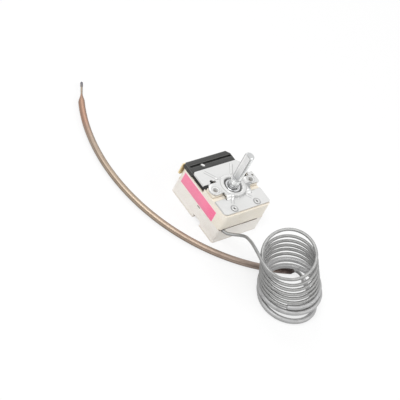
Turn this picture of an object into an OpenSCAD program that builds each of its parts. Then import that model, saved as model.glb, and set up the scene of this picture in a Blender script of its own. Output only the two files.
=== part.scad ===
// Cooktop temperature control with a liquid-filled capillary and a long sensing bulb.
// Origin: underside of the base, straight below the shaft. +Z is up the shaft,
// X runs along the line of the two panel screws and +Y points to the terminals.

/* [Housing] */
// Width of the moulded housing
body_w = 36; // [35:0.5:40]
// Distance from the shaft to the front face
front_y = 18.5; // [18:0.25:20]
// Distance from the shaft to the back face
back_y = 25; // [24.5:0.25:27]
// Height of the moulded housing
body_h = 23.6; // [23.4:0.1:25]
// Height of the upper shell above the parting line
upper_h = 12.1; // [11.8:0.1:12.3]
// Thickness of the side walls
wall = 2; // [1.6:0.1:2.2]
// Thickness of the base's floor
floor_t = 2; // [1.8:0.1:2.4]
// Thickness of the roof
roof_t = 2.2; // [1.8:0.1:2.4]
// Radius of the upper shell's upright edges
edge_r = 2.5; // [1.5:0.25:3.5]
// Radius of the base's upright edges
base_edge_r = 1.5; // [1:0.25:2.5]

/* [Bracket] */
// Thickness of the bracket's steel sheet
sheet_t = 1; // [0.8:0.1:1.2]
// Height that the bridge is pressed up above the plate
bridge_rise = 2; // [1.6:0.1:2.4]
// Distance between the two panel screw holes
hole_pitch = 28; // [27:0.25:29]
// Radius of the panel screw holes, tapped M4
thread_r = 1.65; // [1.6:0.05:1.8]
// Width of the waist between the ears and the plates
waist_w = 19.2; // [18:0.2:20]
// Radius of the round well pressed round the bush
well_r = 6.7; // [6.4:0.1:7]
// Distance from the shaft to the two housing rivets, across
rivet_x = 9; // [8.6:0.1:9.4]
// Distance from the shaft to the two housing rivets, forward
rivet_y = 14.5; // [14.3:0.1:14.7]
// Radius of the rivets' shanks
rivet_r = 1.5; // [1.3:0.1:1.6]

/* [Spindle] */
// Radius of the shaft
shaft_r = 3; // [2.8:0.05:3.1]
// Length of the shaft above the bridge
shaft_len = 26.5; // [22:0.5:30]
// Length of the flat on the shaft
flat_len = 20; // [12:0.5:20.5]
// Size across the flat
flat_across = 4.6; // [4:0.1:5]
// Turn of the shaft from off to the highest setting, in degrees
shaft_turn = 285; // [270:5:285]
// Radius of the snail cam at the off position
cam_r = 7.2; // [7:0.1:7.4]
// Rise of the snail cam over the whole turn
cam_rise = 1.2; // [1:0.1:1.2]
// Radius of the adjusting stud, M3.5
stud_r = 1.75; // [1.6:0.05:1.9]

/* [Switching] */
// Radius of the diaphragm capsule
capsule_r = 9.9; // [9.6:0.1:10.1]
// Radius of the ceramic push pin
pin_r = 1.5; // [1.3:0.1:1.6]
// Thickness of the snap blade
blade_t = 0.25; // [0.2:0.05:0.3]
// Radius of the silver contacts
contact_r = 1.5; // [1.3:0.1:1.7]
// Width of the push-on tabs
tab_w = 6.3; // [4.8:0.1:6.4]
// Thickness of the push-on tabs
tab_t = 0.8; // [0.5:0.1:0.8]
// Length of the main tabs behind the housing
tab_len = 8; // [6:0.5:10]
// Thickness of the black switch cover
cover_h = 3; // [2.6:0.1:3]
// Radius of the switch plunger
plunger_r = 1.2; // [1:0.1:1.3]

/* [Capillary and bulb] */
// Radius of the capillary tube
tube_r = 0.95; // [0.8:0.05:1]
// Radius of the protecting sleeve
sleeve_r = 1.6; // [1.4:0.05:1.7]
// Radius of the sensing bulb
bulb_r = 2; // [1.8:0.1:2.2]
// Radius that the bulb is bent to
bulb_bend_r = 111.3; // [110:0.1:113]
// Angle of the bulb's bend
bulb_bend_angle = 95.5; // [85:0.5:97]

/* [Hidden] */
$fn = 48;

// Clearances: a loose fit, a running fit and the air left between stacked pieces
loose = 0.1;
running = 0.05;
eps = 0.5;

// Parting line and levels up the shaft
base_h = body_h - upper_h;
plate_z = body_h + sheet_t;
bridge_z = plate_z + bridge_rise;
roof_z = body_h - roof_t;
cover_z = body_h - cover_h;
shaft_top = bridge_z + shaft_len;

// Bracket outline
bracket_w = body_w - 0.2;
plate_front = front_y - 1.2;
plate_waist = 5.9;
plate_rear_start = 6.2;
plate_rear = 17.2;
ear_front = 3.4;
ear_back = 5;
ear_x = body_w / 2 + 0.5;
ear_r = ear_x - 0.2 - hole_pitch / 2;
ear_hole = [ear_x - 1.3, 2.4];
land_r = 4.2;
land_rise = 0.3;
wing_relief = 0.4;
bend_run = 1.6;
front_bend = -plate_waist - bend_run;
rear_bend = plate_rear_start + bend_run;
front_corner_r = 2.5;
rear_corner_r = 1.5;
collar_r = thread_r + sheet_t;
collar_drop = 1.2;
keyhole = [-12.3, 6.9];
keyhole_r = 1.7;
lug_x = 5;
lug_w = 4;
lug_drop = 7.6;
lug_y = 15.4;
lug_t = 0.8;
rib_angle = 35;
rib_r = 0.75;

// Bush and washer in the well
bush_flange_r = 5.2;
bush_spigot_r = 4.2;
bush_rise = 1.5;
bush_drop = 1.9;
bush_low = plate_z - bush_drop;
washer_t = 0.2;
washer_dish = 0.3;
roof_hole_r = 6;
pad_in = hole_pitch / 2 - 3.4;
pad_out = body_w / 2 - 0.6;
pad_mid = (pad_in + pad_out) / 2;
pad_half = (pad_out - pad_in) / 2;

// Spindle below the bush
flange_r = 5.5;
flange_t = 1.2;
flange_z = bush_low - running * 2 - washer_t - washer_dish - flange_t;
hub_r = 4;
hub_low = flange_z - 6.4;
groove_z = bridge_z + 0.2;
groove_h = 0.6;
groove_r = shaft_r - 0.25;
flat_z = shaft_top - flat_len;
relief_h = 0.6;
relief_r = shaft_r - 0.25;
cam_low = flange_z - 5.1;
cam_t = 2.4;
stop_half = 10;
block_half = 25;
stop_margin = 2.5;
stop_low = cam_low + cam_t;
stop_top = flange_z - 0.5;

// Capsule, pin and snap switch, hung below the spindle
stud_top = flange_z - 3.3;
capsule_top = hub_low - 2;
seam_z = capsule_top - 1.2;
membrane_low = capsule_top - 2.1;
nozzle_x = capsule_r + 1.5;
nozzle_r = 1.3;
dome_r = 2.8;
ring_in = 4.8;
ring_out = 6.8;
nozzle_z = seam_z + 0.3;
blade_z = membrane_low - 4.4;
blade_half_w = 2;
blade_pivot_y = 13;
blade_front = 11.5;
slot_x = 1.1;
slot_r = 0.35;
slot_end = 6;
front_slot_len = 4;
rear_slot = 3;
rear_slot_len = 6.5;
fixed_tab_x = body_w / 2 - 6.85;
contact_y = 10;
contact_t = 0.9;
guide_z = blade_z + 2;
guide_t = 1;
guide_half = [fixed_tab_x - tab_w / 2 - 0.5, 4];
guide_post = 3;
guide_post_x = guide_half.x - guide_post / 2 - 0.5;
fixed_z = blade_z + blade_t + 2 * contact_t + running;
moving_z = blade_z - loose - tab_t;
moving_start = 11.6;
moving_shoulder = 14.5;
screw_y = 5;
screw_r = 1.45;
screw_boss_r = 3;
screw_boss_gap = 1.8;

// Rear pocket with the on/off switch
partition_y = 13.5;
pocket_y = 17.3;
pocket_back = back_y - 1.5;
pocket_floor = base_h + 1;
pocket_half = body_w / 2 - 2.2;
bar_front = 16.8;
bar_back = back_y + 0.9;
arm_x0 = body_w / 2 - 0.7;
arm_x1 = body_w / 2 - 7.9;
arm_front = 4.5;
switch_z = cam_low + cam_t / 2;
leaf_y = 18.3;
leaf_t = 0.3;
leaf_end = 7.5;
leaf_half_h = 2;
aux_contact_x = 6;
aux_contact_t = 1;
aux_fixed_y = 21.65;
aux_fixed_t = 0.85;
neck_z = switch_z + 1.9;
strip_y = bar_back + 0.1;
strip_low = neck_z - 5.9;
strip_top = neck_z + 3.1;
left_strip_x = 3.1 - body_w / 2;
right_strip_x = 6.5;
post_x0 = 2.5 - body_w / 2;
post_w = 3;
leaf_start = post_x0 + post_w + loose;

// Label on the left face
label_y0 = -11.1;
label_len = 33.3;
label_z0 = base_h - 0.5;
label_h = cover_z - 0.8 - label_z0;
label_t = 0.12;

// Foot notch in the left wall and the slit along the front
notch_y0 = -4.5;
notch_len = 7;
notch_h = 3;
notch_depth = 3.2;
slit_h = 0.6;
slit_depth = 1.2;
slit_end = 11.4;

// Where the capillary leaves the housing
exit_x = 3.4 - body_w / 2;
exit_z = base_h - 0.5;
exit_r = 1.15;

// Bulb on the floor: it passes the housing's front left corner at this place and angle
bulb_pass = [-body_w / 2 - 6.06, -front_y - 5.04];
bulb_pass_angle = 220;
bulb_centre = bulb_pass - bulb_bend_r * [cos(bulb_pass_angle), sin(bulb_pass_angle)];
bulb_end_angle = 246.7;
neck_len = 2.2;
neck_r = 1.2;
taper_len = 7;
stem_r = 0.65;
stem_len = 7;
bead_r = 0.85;
bead_len = 3.2;
tip_turn = 4.5;
crimp = 0.06;
crimp_len = 0.8;
bulb_z = bulb_r + crimp;
bulb_end = [bulb_centre.x + bulb_bend_r * cos(bulb_end_angle),
    bulb_centre.y + bulb_bend_r * sin(bulb_end_angle), bulb_z];
bulb_dir = [-sin(bulb_end_angle), cos(bulb_end_angle), 0];
neck_end = bulb_end + bulb_dir * neck_len;

// Coil: centres, radii and tilts of the first and the last turn
coil_turns = 7.75;
sleeve_turns = 1.79;
coil_top = [-4.6, -58.4, 34.2];
coil_low = [3.2, -68.5, 5.6];
coil_r_top = 15.8;
coil_r_low = 18.2;
tilt_top = [-0.46, -0.28];
tilt_low = [-0.2, 0.04];
coil_start_angle = 244;
// Share of the way from the first turn to the last at each whole turn, of place and of tilt
coil_levels = [0, 0.16, 0.28, 0.4, 0.5, 0.61, 0.73, 0.88, 1.04, 1.2];
tilt_levels = [0, 0.4, 0.54, 0.65, 0.73, 0.8, 0.88, 1.02, 1.16, 1.3];
coil_steps = 24;
tube_sides = 8;
lead_steps = 4;

// Route of the capillary inside and outside the housing, up to the coil
lead_points = [[-nozzle_x - loose, 0, nozzle_z], [-nozzle_x - 0.9, -0.02, nozzle_z],
    [0.9 + exit_x, -1.2, nozzle_z - 0.2], [exit_x, -3.4, exit_z + 0.1], [exit_x, -8, exit_z],
    [exit_x, -13, exit_z], [exit_x, -18.6, exit_z],
    [-13.4, -21.6, 11.3], [-11, -24.4, 12.6], [-9.2, -27.2, 14.6], [-8.8, -30.9, 17.4],
    [-11.4, -36.8, 21.2], [-15.4, -43, 25.2], [-19, -49.6, 28.2], [-21.6, -56.2, 29.8],
    [-21.2, -62.6, 29.6], [-17.4, -68, 28.4]];

// Route from the coil's last turn along the floor to the bulb
tail_points = [[-15.2, -66.4, 2.1], [-15, -72.6, 1.8], [-12.4, -78.8, 1.8], [-7.4, -83.6, 1.8],
    [-0.8, -86.2, 1.8], [6, -86.2, 1.8], [12.6, -83.6, 1.8], [17.2, -78.6, 1.8], [19.4, -72.8, 1.8],
    [20.6, -67, 1.8], [21.7, -62, 1.8], [22.2, -58.6, 1.9]];

function mix(a, b, u) = a * (1 - u) + b * u;
function unit(v) = v / norm(v);

// A point of the coil, a turns after its start
function coil_point(a) =
    let (i = floor(a),
        u = curve_point(coil_levels, i, a - i),
        c = mix(coil_top, coil_low, u),
        r = mix(coil_r_top, coil_r_low, u),
        t = mix(tilt_top, tilt_low, curve_point(tilt_levels, i, a - i)),
        n = unit([t.x, t.y, 1]),
        e = unit([1, 0, 0] - n * n.x),
        g = coil_start_angle + 360 * a)
    c + r * (cos(g) * e + sin(g) * cross(n, e));

coil_points = [for (i = [0:1:floor(coil_turns * coil_steps)]) coil_point(i / coil_steps)];

// Smooth curve through chosen points
function curve_point(p, i, s) =
    let (a = p[max(i - 1, 0)], b = p[i], c = p[i + 1], d = p[min(i + 2, len(p) - 1)])
    0.5 * (2 * b + (c - a) * s + (2 * a - 5 * b + 4 * c - d) * s * s
        + (3 * b - a - 3 * c + d) * s * s * s);
function curve(p, first, last, steps) =
    [for (i = [first:last], k = [0:steps - 1]) curve_point(p, i, k / steps)];

coil_count = len(coil_points);
lead_route = concat(lead_points, [coil_points[0], coil_points[1]]);
tail_route = concat([coil_points[coil_count - 3], coil_points[coil_count - 1]], tail_points,
    [neck_end + bulb_dir * 2, neck_end]);
lead_path = curve(lead_route, 0, len(lead_route) - 3, lead_steps);
tail_path = curve(tail_route, 1, len(tail_route) - 2, lead_steps);
capillary_path = concat(lead_path, [for (i = [0:coil_count - 2]) coil_points[i]], tail_path,
    [neck_end]);
sleeve_first = len(lead_path) + floor((coil_turns - sleeve_turns) * coil_steps);
sleeve_last = len(lead_path) + coil_count - 1 + 11 * lead_steps;
sleeve_path = [for (i = [sleeve_first:sleeve_last]) capillary_path[i]];

// Tangent of a path and one ring of points round it
function tangent(p, i) = unit(p[min(i + 1, len(p) - 1)] - p[max(i - 1, 0)]);
function ring(p, i, r) =
    let (t = tangent(p, i), side = unit(cross([0, 0, 1], t)), up = cross(t, side))
    [for (k = [0:tube_sides - 1]) p[i]
        + r * (cos(360 * k / tube_sides) * side + sin(360 * k / tube_sides) * up)];
function rings(p, r) = [for (i = [0:len(p) - 1]) each ring(p, i, r)];
function skin(count, base, flip) =
    [for (i = [0:count - 2], k = [0:tube_sides - 1])
        let (a = base + i * tube_sides + k, b = base + i * tube_sides + (k + 1) % tube_sides)
        each (flip ? [[a, b, a + tube_sides], [b, b + tube_sides, a + tube_sides]]
            : [[a, a + tube_sides, b], [b, a + tube_sides, b + tube_sides]])];

module swept_tube(p, r) {
    count = len(p);
    start_cap = [[for (k = [0:tube_sides - 1]) k]];
    end_cap = [[for (k = [tube_sides - 1:-1:0]) (count - 1) * tube_sides + k]];
    polyhedron(points = rings(p, r), faces = concat(start_cap, skin(count, 0, false), end_cap));
}

module swept_sleeve(p, r, bore) {
    count = len(p);
    inner = count * tube_sides;
    last = (count - 1) * tube_sides;
    start_rim = [for (k = [0:tube_sides - 1]) let (m = (k + 1) % tube_sides)
        each [[k, m, inner + k], [m, inner + m, inner + k]]];
    end_rim = [for (k = [0:tube_sides - 1]) let (m = (k + 1) % tube_sides)
        each [[last + k, inner + last + k, last + m], [last + m, inner + last + k, inner + last + m]]];
    polyhedron(points = concat(rings(p, r), rings(p, bore)),
        faces = concat(skin(count, 0, false), skin(count, inner, true), start_rim, end_rim));
}

// Plan with rounded corners, centred across X
module rounded_plan(w, y0, y1, r) {
    translate([-w / 2 + r, y0]) square([w - 2 * r, y1 - y0]);
    translate([-w / 2, y0 + r]) square([w, y1 - y0 - 2 * r]);
    for (x = [-1, 1], y = [y0 + r, y1 - r]) {
        translate([x * (w / 2 - r), y]) circle(r);
    }
}

module block(x0, x1, y0, y1, z0, z1) {
    translate([x0, y0, z0]) cube([x1 - x0, y1 - y0, z1 - z0]);
}

module upright(x, y, r, z0, z1) {
    translate([x, y, z0]) cylinder(r = r, h = z1 - z0);
}

module along_y(x, z, r, y0, y1) {
    translate([x, y0, z]) rotate([-90, 0, 0]) cylinder(r = r, h = y1 - y0);
}

module base_housing() color([0.93, 0.92, 0.9]) difference() {
    union() {
        difference() {
            linear_extrude(base_h) rounded_plan(body_w, -front_y, back_y, base_edge_r);
            translate([0, 0, floor_t]) linear_extrude(base_h)
                rounded_plan(body_w - 2 * wall, wall - front_y, back_y - wall, 1);
        }
        for (x = [-1, 1]) {
            upright(x * rivet_x, -rivet_y, rivet_r + 1, 1, base_h);
            block(x * guide_post_x - guide_post / 2, x * guide_post_x + guide_post / 2,
                -guide_post / 2, guide_post / 2, 1, guide_z);
        }
        block(1 - body_w / 2, 4.5 - body_w / 2, notch_y0 - 1.2, notch_y0 + notch_len + 1.2, 1, notch_h + 2);
        block(fixed_tab_x + 1.4, body_w / 2 - 1, -11, 20, 1, fixed_z);
        block(-2, 2, 15, back_y - 1, 1, moving_z);
        upright(0, screw_y, screw_boss_r, 1, blade_z - screw_boss_gap);
    }
    for (x = [-1, 1]) {
        upright(x * rivet_x, -rivet_y, rivet_r + loose, -1, base_h + 1);
        upright(x * rivet_x, -rivet_y, rivet_r + 0.9, -1, 1.3);
    }
    upright(0, screw_y, screw_r + running, -1, blade_z);
    block(-body_w / 2 - 1, notch_depth - body_w / 2, notch_y0, notch_y0 + notch_len, -1, notch_h);
    block(fixed_tab_x - tab_w / 2 - loose, fixed_tab_x + tab_w / 2 + loose, back_y - wall - 1,
        back_y + 1, fixed_z - running, fixed_z + tab_t + loose);
    block(-tab_w / 2 - loose, tab_w / 2 + loose, back_y - wall - 1, back_y + 1,
        moving_z - running, moving_z + tab_t + loose);
    along_y(exit_x, exit_z, exit_r, -front_y - 1, -front_y + wall + 1);
    block(exit_x - exit_r, exit_x + exit_r, -front_y - 1, -front_y + wall + 1, exit_z, base_h + 1);
}

// Sector of a ring, centred on an angle that is measured from +Y
module sector(angle, half, r0, r1, z0, z1) {
    translate([0, 0, z0]) rotate([0, 0, 90 + angle - half])
        rotate_extrude(angle = 2 * half) translate([r0, 0]) square([r1 - r0, z1 - z0]);
}

module upper_housing() color([0.93, 0.9, 0.83]) difference() {
    union() {
        difference() {
            translate([0, 0, base_h]) linear_extrude(body_h - base_h)
                rounded_plan(body_w, -front_y, back_y, edge_r);
            translate([0, 0, base_h - 1]) linear_extrude(roof_z - base_h + 1)
                rounded_plan(body_w - 2 * wall, wall - front_y, partition_y, 1);
            block(-pocket_half, pocket_half, pocket_y, pocket_back, pocket_floor, body_h + 1);
        }
        for (x = [-1, 1]) {
            upright(x * rivet_x, -rivet_y, rivet_r + 1, base_h, roof_z + eps);
            upright(x * hole_pitch / 2, 0, 3.2, body_h - 5, roof_z + eps);
            block(x * pad_mid - pad_half, x * pad_mid + pad_half, -ear_front, ear_front,
                roof_z, bridge_z - sheet_t);
        }
        block(1 - body_w / 2, 1 - arm_x1, arm_front - 1, partition_y + 1, cover_z - 2, roof_z + eps);
        sector(180, block_half, roof_hole_r + 0.3, 8.8, stop_low + 0.3, roof_z + eps);
    }
    upright(0, 0, roof_hole_r, roof_z - 0.1, body_h + 1);
    block(-body_w, body_w, bar_front, back_y + 1, cover_z, body_h + 1);
    block(-body_w / 2 - 1, -arm_x1, arm_front, bar_front + 1, cover_z, body_h + 1);
    for (x = [-1, 1]) {
        upright(x * rivet_x, -rivet_y, rivet_r + loose, base_h - 1, body_h + 1);
        upright(x * hole_pitch / 2, 0, 2.2, body_h - 4, bridge_z);
        upright(x * hole_pitch / 2, 0, collar_r + 0.2, bridge_z - sheet_t - collar_drop - 0.2, bridge_z);
        block(x * (lug_x + lug_w / 2) - lug_w / 2 - loose, x * (lug_x + lug_w / 2) + lug_w / 2 + loose,
            lug_y - loose, lug_y + lug_t + loose, body_h - lug_drop - 0.3, body_h + 1);
    }
    along_y(0, switch_z, plunger_r + running, partition_y - 1, pocket_y + 1);
    block(post_x0 - loose, post_x0 + post_w + loose, pocket_back - 1, back_y + 1,
        neck_z - loose, neck_z + tab_t + loose);
    block(right_strip_x - post_w / 2 - loose, right_strip_x + post_w / 2 + loose, pocket_back - 1,
        back_y + 1, neck_z - loose, neck_z + tab_t + loose);
    block(exit_x - exit_r, slit_end, -front_y - 1, -front_y + slit_depth, base_h - 1, base_h + slit_h);
    along_y(exit_x, exit_z, exit_r, -front_y - 1, -front_y + wall + 1);
}

// Side view of the bracket's sheet along the waist: front plate, bridge and rear plate
module bracket_profile() {
    z0 = body_h;
    z1 = body_h + bridge_rise;
    polygon([[-plate_front, z0], [front_bend, z0], [-plate_waist, z1], [plate_rear_start, z1],
        [rear_bend, z0], [plate_rear, z0], [plate_rear, z0 + sheet_t], [rear_bend + 0.2, z0 + sheet_t],
        [plate_rear_start + 0.2, z1 + sheet_t], [-plate_waist - 0.2, z1 + sheet_t],
        [front_bend - 0.2, z0 + sheet_t], [-plate_front, z0 + sheet_t]]);
}

// The sheet before its ribs: bent along the waist, with level wings and raised ears beside it
module bent_sheet() {
    wing_in = waist_w / 2 + wing_relief;
    translate([-waist_w / 2, 0, 0]) rotate([90, 0, 90]) linear_extrude(waist_w) bracket_profile();
    block(-body_w, body_w, -ear_front, ear_back, bridge_z - sheet_t, bridge_z);
    block(-body_w, body_w, -plate_front, front_bend, body_h, plate_z);
    block(-body_w, body_w, rear_bend, plate_rear, body_h, plate_z);
    for (x = [-body_w, wing_in]) {
        block(x, x + body_w - wing_in, front_bend - eps, -plate_waist, body_h, plate_z);
        block(x, x + body_w - wing_in, plate_rear_start, rear_bend + eps, body_h, plate_z);
    }
    for (x = [-1, 1]) {
        translate([x * hole_pitch / 2, 0, bridge_z - eps])
            cylinder(r1 = land_r + eps, r2 = land_r - land_rise, h = land_rise + eps);
    }
}

module bracket_plan() {
    half = bracket_w / 2;
    difference() {
        union() {
            translate([-half + front_corner_r, -plate_front])
                square([bracket_w - 2 * front_corner_r, plate_front - plate_waist]);
            translate([-half, front_corner_r - plate_front])
                square([bracket_w, plate_front - plate_waist - front_corner_r]);
            for (x = [-1, 1]) {
                translate([x * (half - front_corner_r), front_corner_r - plate_front])
                    circle(front_corner_r);
            }
            translate([-waist_w / 2, -plate_front]) square([waist_w, plate_front + plate_rear - 1]);
            translate([-hole_pitch / 2, -ear_front + 0.4]) square([hole_pitch / 2 + ear_x, ear_front + ear_back - 0.4]);
            translate([-hole_pitch / 2, ear_r - ear_front]) circle(ear_r);
            translate([-hole_pitch / 2 - ear_r, ear_r - ear_front])
                square([ear_r + 1, ear_back + ear_front - ear_r]);
            polygon([[-half, plate_rear_start], [half, plate_rear_start], [half, plate_rear - 2.2],
                [half - 2.2, plate_rear], [rear_corner_r - half, plate_rear],
                [-half, plate_rear - rear_corner_r]]);
            translate([rear_corner_r - half, plate_rear - rear_corner_r]) circle(rear_corner_r);
        }
        translate(keyhole) circle(keyhole_r);
        translate([-half - 1, ear_back]) square([half + 1 + keyhole.x, plate_rear_start - ear_back]);
        translate([waist_w / 2, 3.4]) square([4, 1.6]);
        translate([waist_w / 2, ear_back]) square([half, plate_rear_start - ear_back]);
        translate(ear_hole) circle(0.8);
        for (x = [-1, 1]) {
            translate([x * rivet_x, -rivet_y]) circle(rivet_r + loose);
            translate([x * hole_pitch / 2, 0]) circle(thread_r);
        }
        circle(well_r);
    }
}

// Straight pressed bead from one radius to another, along a direction from the shaft
module bead(angle, r0, z0, r1, z1) {
    run = r1 - r0;
    rise = z1 - z0;
    rotate([0, 0, angle]) translate([0, r0, z0]) {
        rotate([-90 + atan2(rise, run), 0, 0]) cylinder(r = rib_r, h = norm([run, rise]));
        sphere(rib_r);
        translate([0, run, rise]) sphere(rib_r);
    }
}

module mounting_bracket() color([0.8, 0.81, 0.83]) {
    bead_z = plate_z - 0.2;
    difference() {
        union() {
            intersection() {
                bent_sheet();
                translate([0, 0, body_h - 1]) linear_extrude(bridge_rise + sheet_t + 2) bracket_plan();
            }
            for (a = [-rib_angle, rib_angle]) {
                bead(a, 10.6, bead_z, plate_rear + 1.2, bead_z);
                bead(a, 8.4, bridge_z - 0.5, 10.6, bead_z);
                bead(180 + a, 9.6, bead_z, 13, bead_z);
                bead(180 + a, 8.2, bridge_z - 0.5, 9.6, bead_z);
            }
            for (x = [-1, 1]) {
                upright(x * hole_pitch / 2, 0, collar_r, bridge_z - sheet_t - collar_drop, bridge_z - sheet_t / 2);
                block(x * (lug_x + lug_w / 2) - lug_w / 2, x * (lug_x + lug_w / 2) + lug_w / 2,
                    lug_y, lug_y + lug_t, body_h - lug_drop, body_h + eps);
            }
            upright(0, 0, well_r + sheet_t, body_h, bridge_z);
            translate([0, 0, bridge_z]) rotate_extrude() translate([well_r + 0.5, 0]) circle(0.35);
        }
        upright(0, 0, well_r, plate_z, bridge_z + 1);
        upright(0, 0, bush_spigot_r + running, body_h - 2, bridge_z);
        for (x = [-1, 1]) {
            upright(x * hole_pitch / 2, 0, thread_r, body_h - 2, bridge_z + land_rise + 1);
        }
    }
}

module housing_rivets() color([0.75, 0.76, 0.78]) for (x = [-1, 1]) {
    translate([x * rivet_x, -rivet_y, 0]) rotate_extrude()
        polygon([[0.7, 0.5], [rivet_r + 0.7, 0.5], [rivet_r + 0.7, 1.3], [rivet_r, 1.3],
            [rivet_r, plate_z], [rivet_r + 0.45, plate_z], [rivet_r + 0.45, plate_z + 0.3],
            [rivet_r + 0.1, plate_z + 0.6], [1.15, plate_z + 0.6], [0.7, plate_z + 0.2]]);
}

module hub_bush() color([0.7, 0.71, 0.74]) rotate_extrude()
    polygon([[shaft_r + running, bush_low], [bush_spigot_r, bush_low], [bush_spigot_r, plate_z],
        [bush_flange_r, plate_z], [bush_flange_r, plate_z + bush_rise - 0.3],
        [bush_flange_r - 0.3, plate_z + bush_rise], [shaft_r + 0.7, plate_z + bush_rise],
        [shaft_r + running, plate_z + bush_rise - 0.5]]);

module wave_washer() color([0.62, 0.63, 0.66]) translate([0, 0, flange_z + flange_t + running])
    rotate_extrude() polygon([[shaft_r + 0.2, 0], [flange_r - 0.5, washer_dish],
        [flange_r - 0.5, washer_dish + washer_t], [shaft_r + 0.2, washer_t]]);

module spindle() color([0.78, 0.79, 0.81]) difference() {
    rotate_extrude() polygon([[0, hub_low], [hub_r, hub_low], [hub_r, flange_z], [flange_r, flange_z],
        [flange_r, flange_z + flange_t], [shaft_r, flange_z + flange_t], [shaft_r, groove_z],
        [groove_r, groove_z], [groove_r, groove_z + groove_h], [shaft_r, groove_z + groove_h],
        [shaft_r, flat_z - relief_h], [relief_r, flat_z - relief_h], [relief_r, flat_z],
        [shaft_r, flat_z], [shaft_r, shaft_top - 0.8], [shaft_r - 0.8, shaft_top], [0, shaft_top]]);
    upright(0, 0, stud_r + running, hub_low - 1, flange_z - 0.4);
    block(-shaft_r - 1, shaft_r - flat_across, -shaft_r - 1, shaft_r + 1,
        flat_z, shaft_top + 1);
}

// Snail cam: its edge rises evenly over the whole turn
function cam_radius(b) = cam_r + cam_rise * max(0, min(1, b / shaft_turn));
cam_step = 5;
cam_lead = 20;
cam_dwell = 25;
cam_outline = [for (b = [-cam_lead:cam_step:shaft_turn + cam_dwell]) cam_radius(b) * [-sin(b), cos(b)]];

module control_cam() color([0.55, 0.3, 0.18]) difference() {
    union() {
        translate([0, 0, cam_low]) linear_extrude(cam_t) polygon(cam_outline);
        upright(0, 0, hub_r + 1.2, stop_low - eps, stop_top);
        sector(180 - stop_half - block_half - stop_margin, stop_half, hub_r + 0.6, cam_r - loose,
            stop_low - eps, stop_top);
    }
    upright(0, 0, hub_r + 0.02, cam_low - 1, stop_top + 1);
}

module adjusting_stud() color([0.72, 0.62, 0.35]) {
    upright(0, 0, stud_r, capsule_top, stud_top);
}

module capsule_cup() color([0.74, 0.75, 0.77]) union() {
    rotate_extrude() polygon([[0, seam_z], [capsule_r, seam_z], [capsule_r, seam_z + 0.5],
        [ring_out + 1, seam_z + 0.5], [ring_out + 0.4, seam_z + 1], [ring_in + 0.8, seam_z + 1],
        [ring_in + 0.2, seam_z + 0.7], [dome_r + 0.6, seam_z + 0.7], [dome_r, capsule_top],
        [0, capsule_top]]);
    translate([-nozzle_x, 0, seam_z + 0.3]) rotate([0, 90, 0])
        cylinder(r = nozzle_r, h = nozzle_x - capsule_r + 0.3);
}

module capsule_membrane() color([0.68, 0.69, 0.72]) rotate_extrude()
    polygon([[0, membrane_low], [dome_r, membrane_low], [dome_r + 0.6, membrane_low + 0.25],
        [ring_in, membrane_low + 0.25], [ring_in + 0.6, membrane_low], [ring_out, membrane_low],
        [ring_out + 0.8, seam_z - 0.5], [capsule_r - 0.4, seam_z - 0.5], [capsule_r - 0.4, seam_z],
        [0, seam_z]]);

module push_pin() color([0.95, 0.94, 0.9]) rotate_extrude()
    polygon([[0, blade_z + blade_t + loose], [pin_r - 0.8, blade_z + blade_t + loose],
        [pin_r, blade_z + blade_t + 0.7], [pin_r, membrane_low - running - 0.4],
        [pin_r - 0.4, membrane_low - running], [0, membrane_low - running]]);

module pin_guide() color([0.62, 0.5, 0.32]) difference() {
    block(-guide_half.x, guide_half.x, -guide_half.y, guide_half.y, guide_z, guide_z + guide_t);
    upright(0, 0, pin_r + running, guide_z - 1, guide_z + guide_t + 1);
    for (y = [-1, 1]) {
        upright(0, y * (guide_half.y + 0.6), 1.6, guide_z - 1, guide_z + guide_t + 1);
    }
}

module snap_blade() color([0.72, 0.5, 0.3]) translate([0, 0, blade_z]) linear_extrude(blade_t)
    difference() {
        union() {
            translate([-blade_half_w, -blade_front + 2])
                square([2 * blade_half_w, blade_front - 2 + blade_pivot_y + 0.2]);
            translate([0, -blade_front + 2]) circle(blade_half_w);
        }
        for (x = [-1, 1]) {
            translate([x * slot_x, -slot_end]) circle(slot_r);
            translate([x * slot_x - slot_r, -slot_end]) square([2 * slot_r, front_slot_len]);
            translate([x * slot_x - slot_r, rear_slot]) square([2 * slot_r, rear_slot_len]);
        }
        translate([-1.45, 2.6]) square([2.9, 0.7]);
    }

module moving_contact() color([0.85, 0.86, 0.88])
    upright(0, -contact_y, contact_r, blade_z + blade_t, blade_z + blade_t + contact_t);

module fixed_contact() color([0.85, 0.86, 0.88])
    upright(0, -contact_y, contact_r, fixed_z - contact_t, fixed_z);

// Push-on tab pointing back, with a chamfered nose and a dimple
module tab_plan(x, y0, y1) {
    difference() {
        polygon([[x - tab_w / 2, y0], [x + tab_w / 2, y0], [x + tab_w / 2, y1 - 1],
            [x + tab_w / 2 - 1.2, y1], [x - tab_w / 2 + 1.2, y1], [x - tab_w / 2, y1 - 1]]);
        translate([x, y1 - 3.6]) circle(0.85);
    }
}

module fixed_terminal() color([0.8, 0.64, 0.36]) translate([0, 0, fixed_z]) linear_extrude(tab_t) {
    tab_plan(fixed_tab_x, -contact_y - contact_r, back_y + tab_len);
    translate([0, -contact_y]) circle(contact_r);
    translate([0, -contact_y - contact_r]) square([fixed_tab_x - 1, 2 * contact_r]);
}

module moving_terminal() color([0.8, 0.64, 0.36]) translate([0, 0, moving_z]) linear_extrude(tab_t) {
    tab_plan(0, moving_shoulder, back_y + tab_len);
    translate([-blade_half_w, moving_start])
        square([2 * blade_half_w, moving_shoulder + 1 - moving_start]);
}

module calibration_screw() color([0.75, 0.66, 0.4]) difference() {
    upright(0, screw_y, screw_r, 0.6, blade_z - 0.35);
    block(-screw_r - 1, screw_r + 1, screw_y - 0.3, screw_y + 0.3, 0, 1.3);
}

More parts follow.
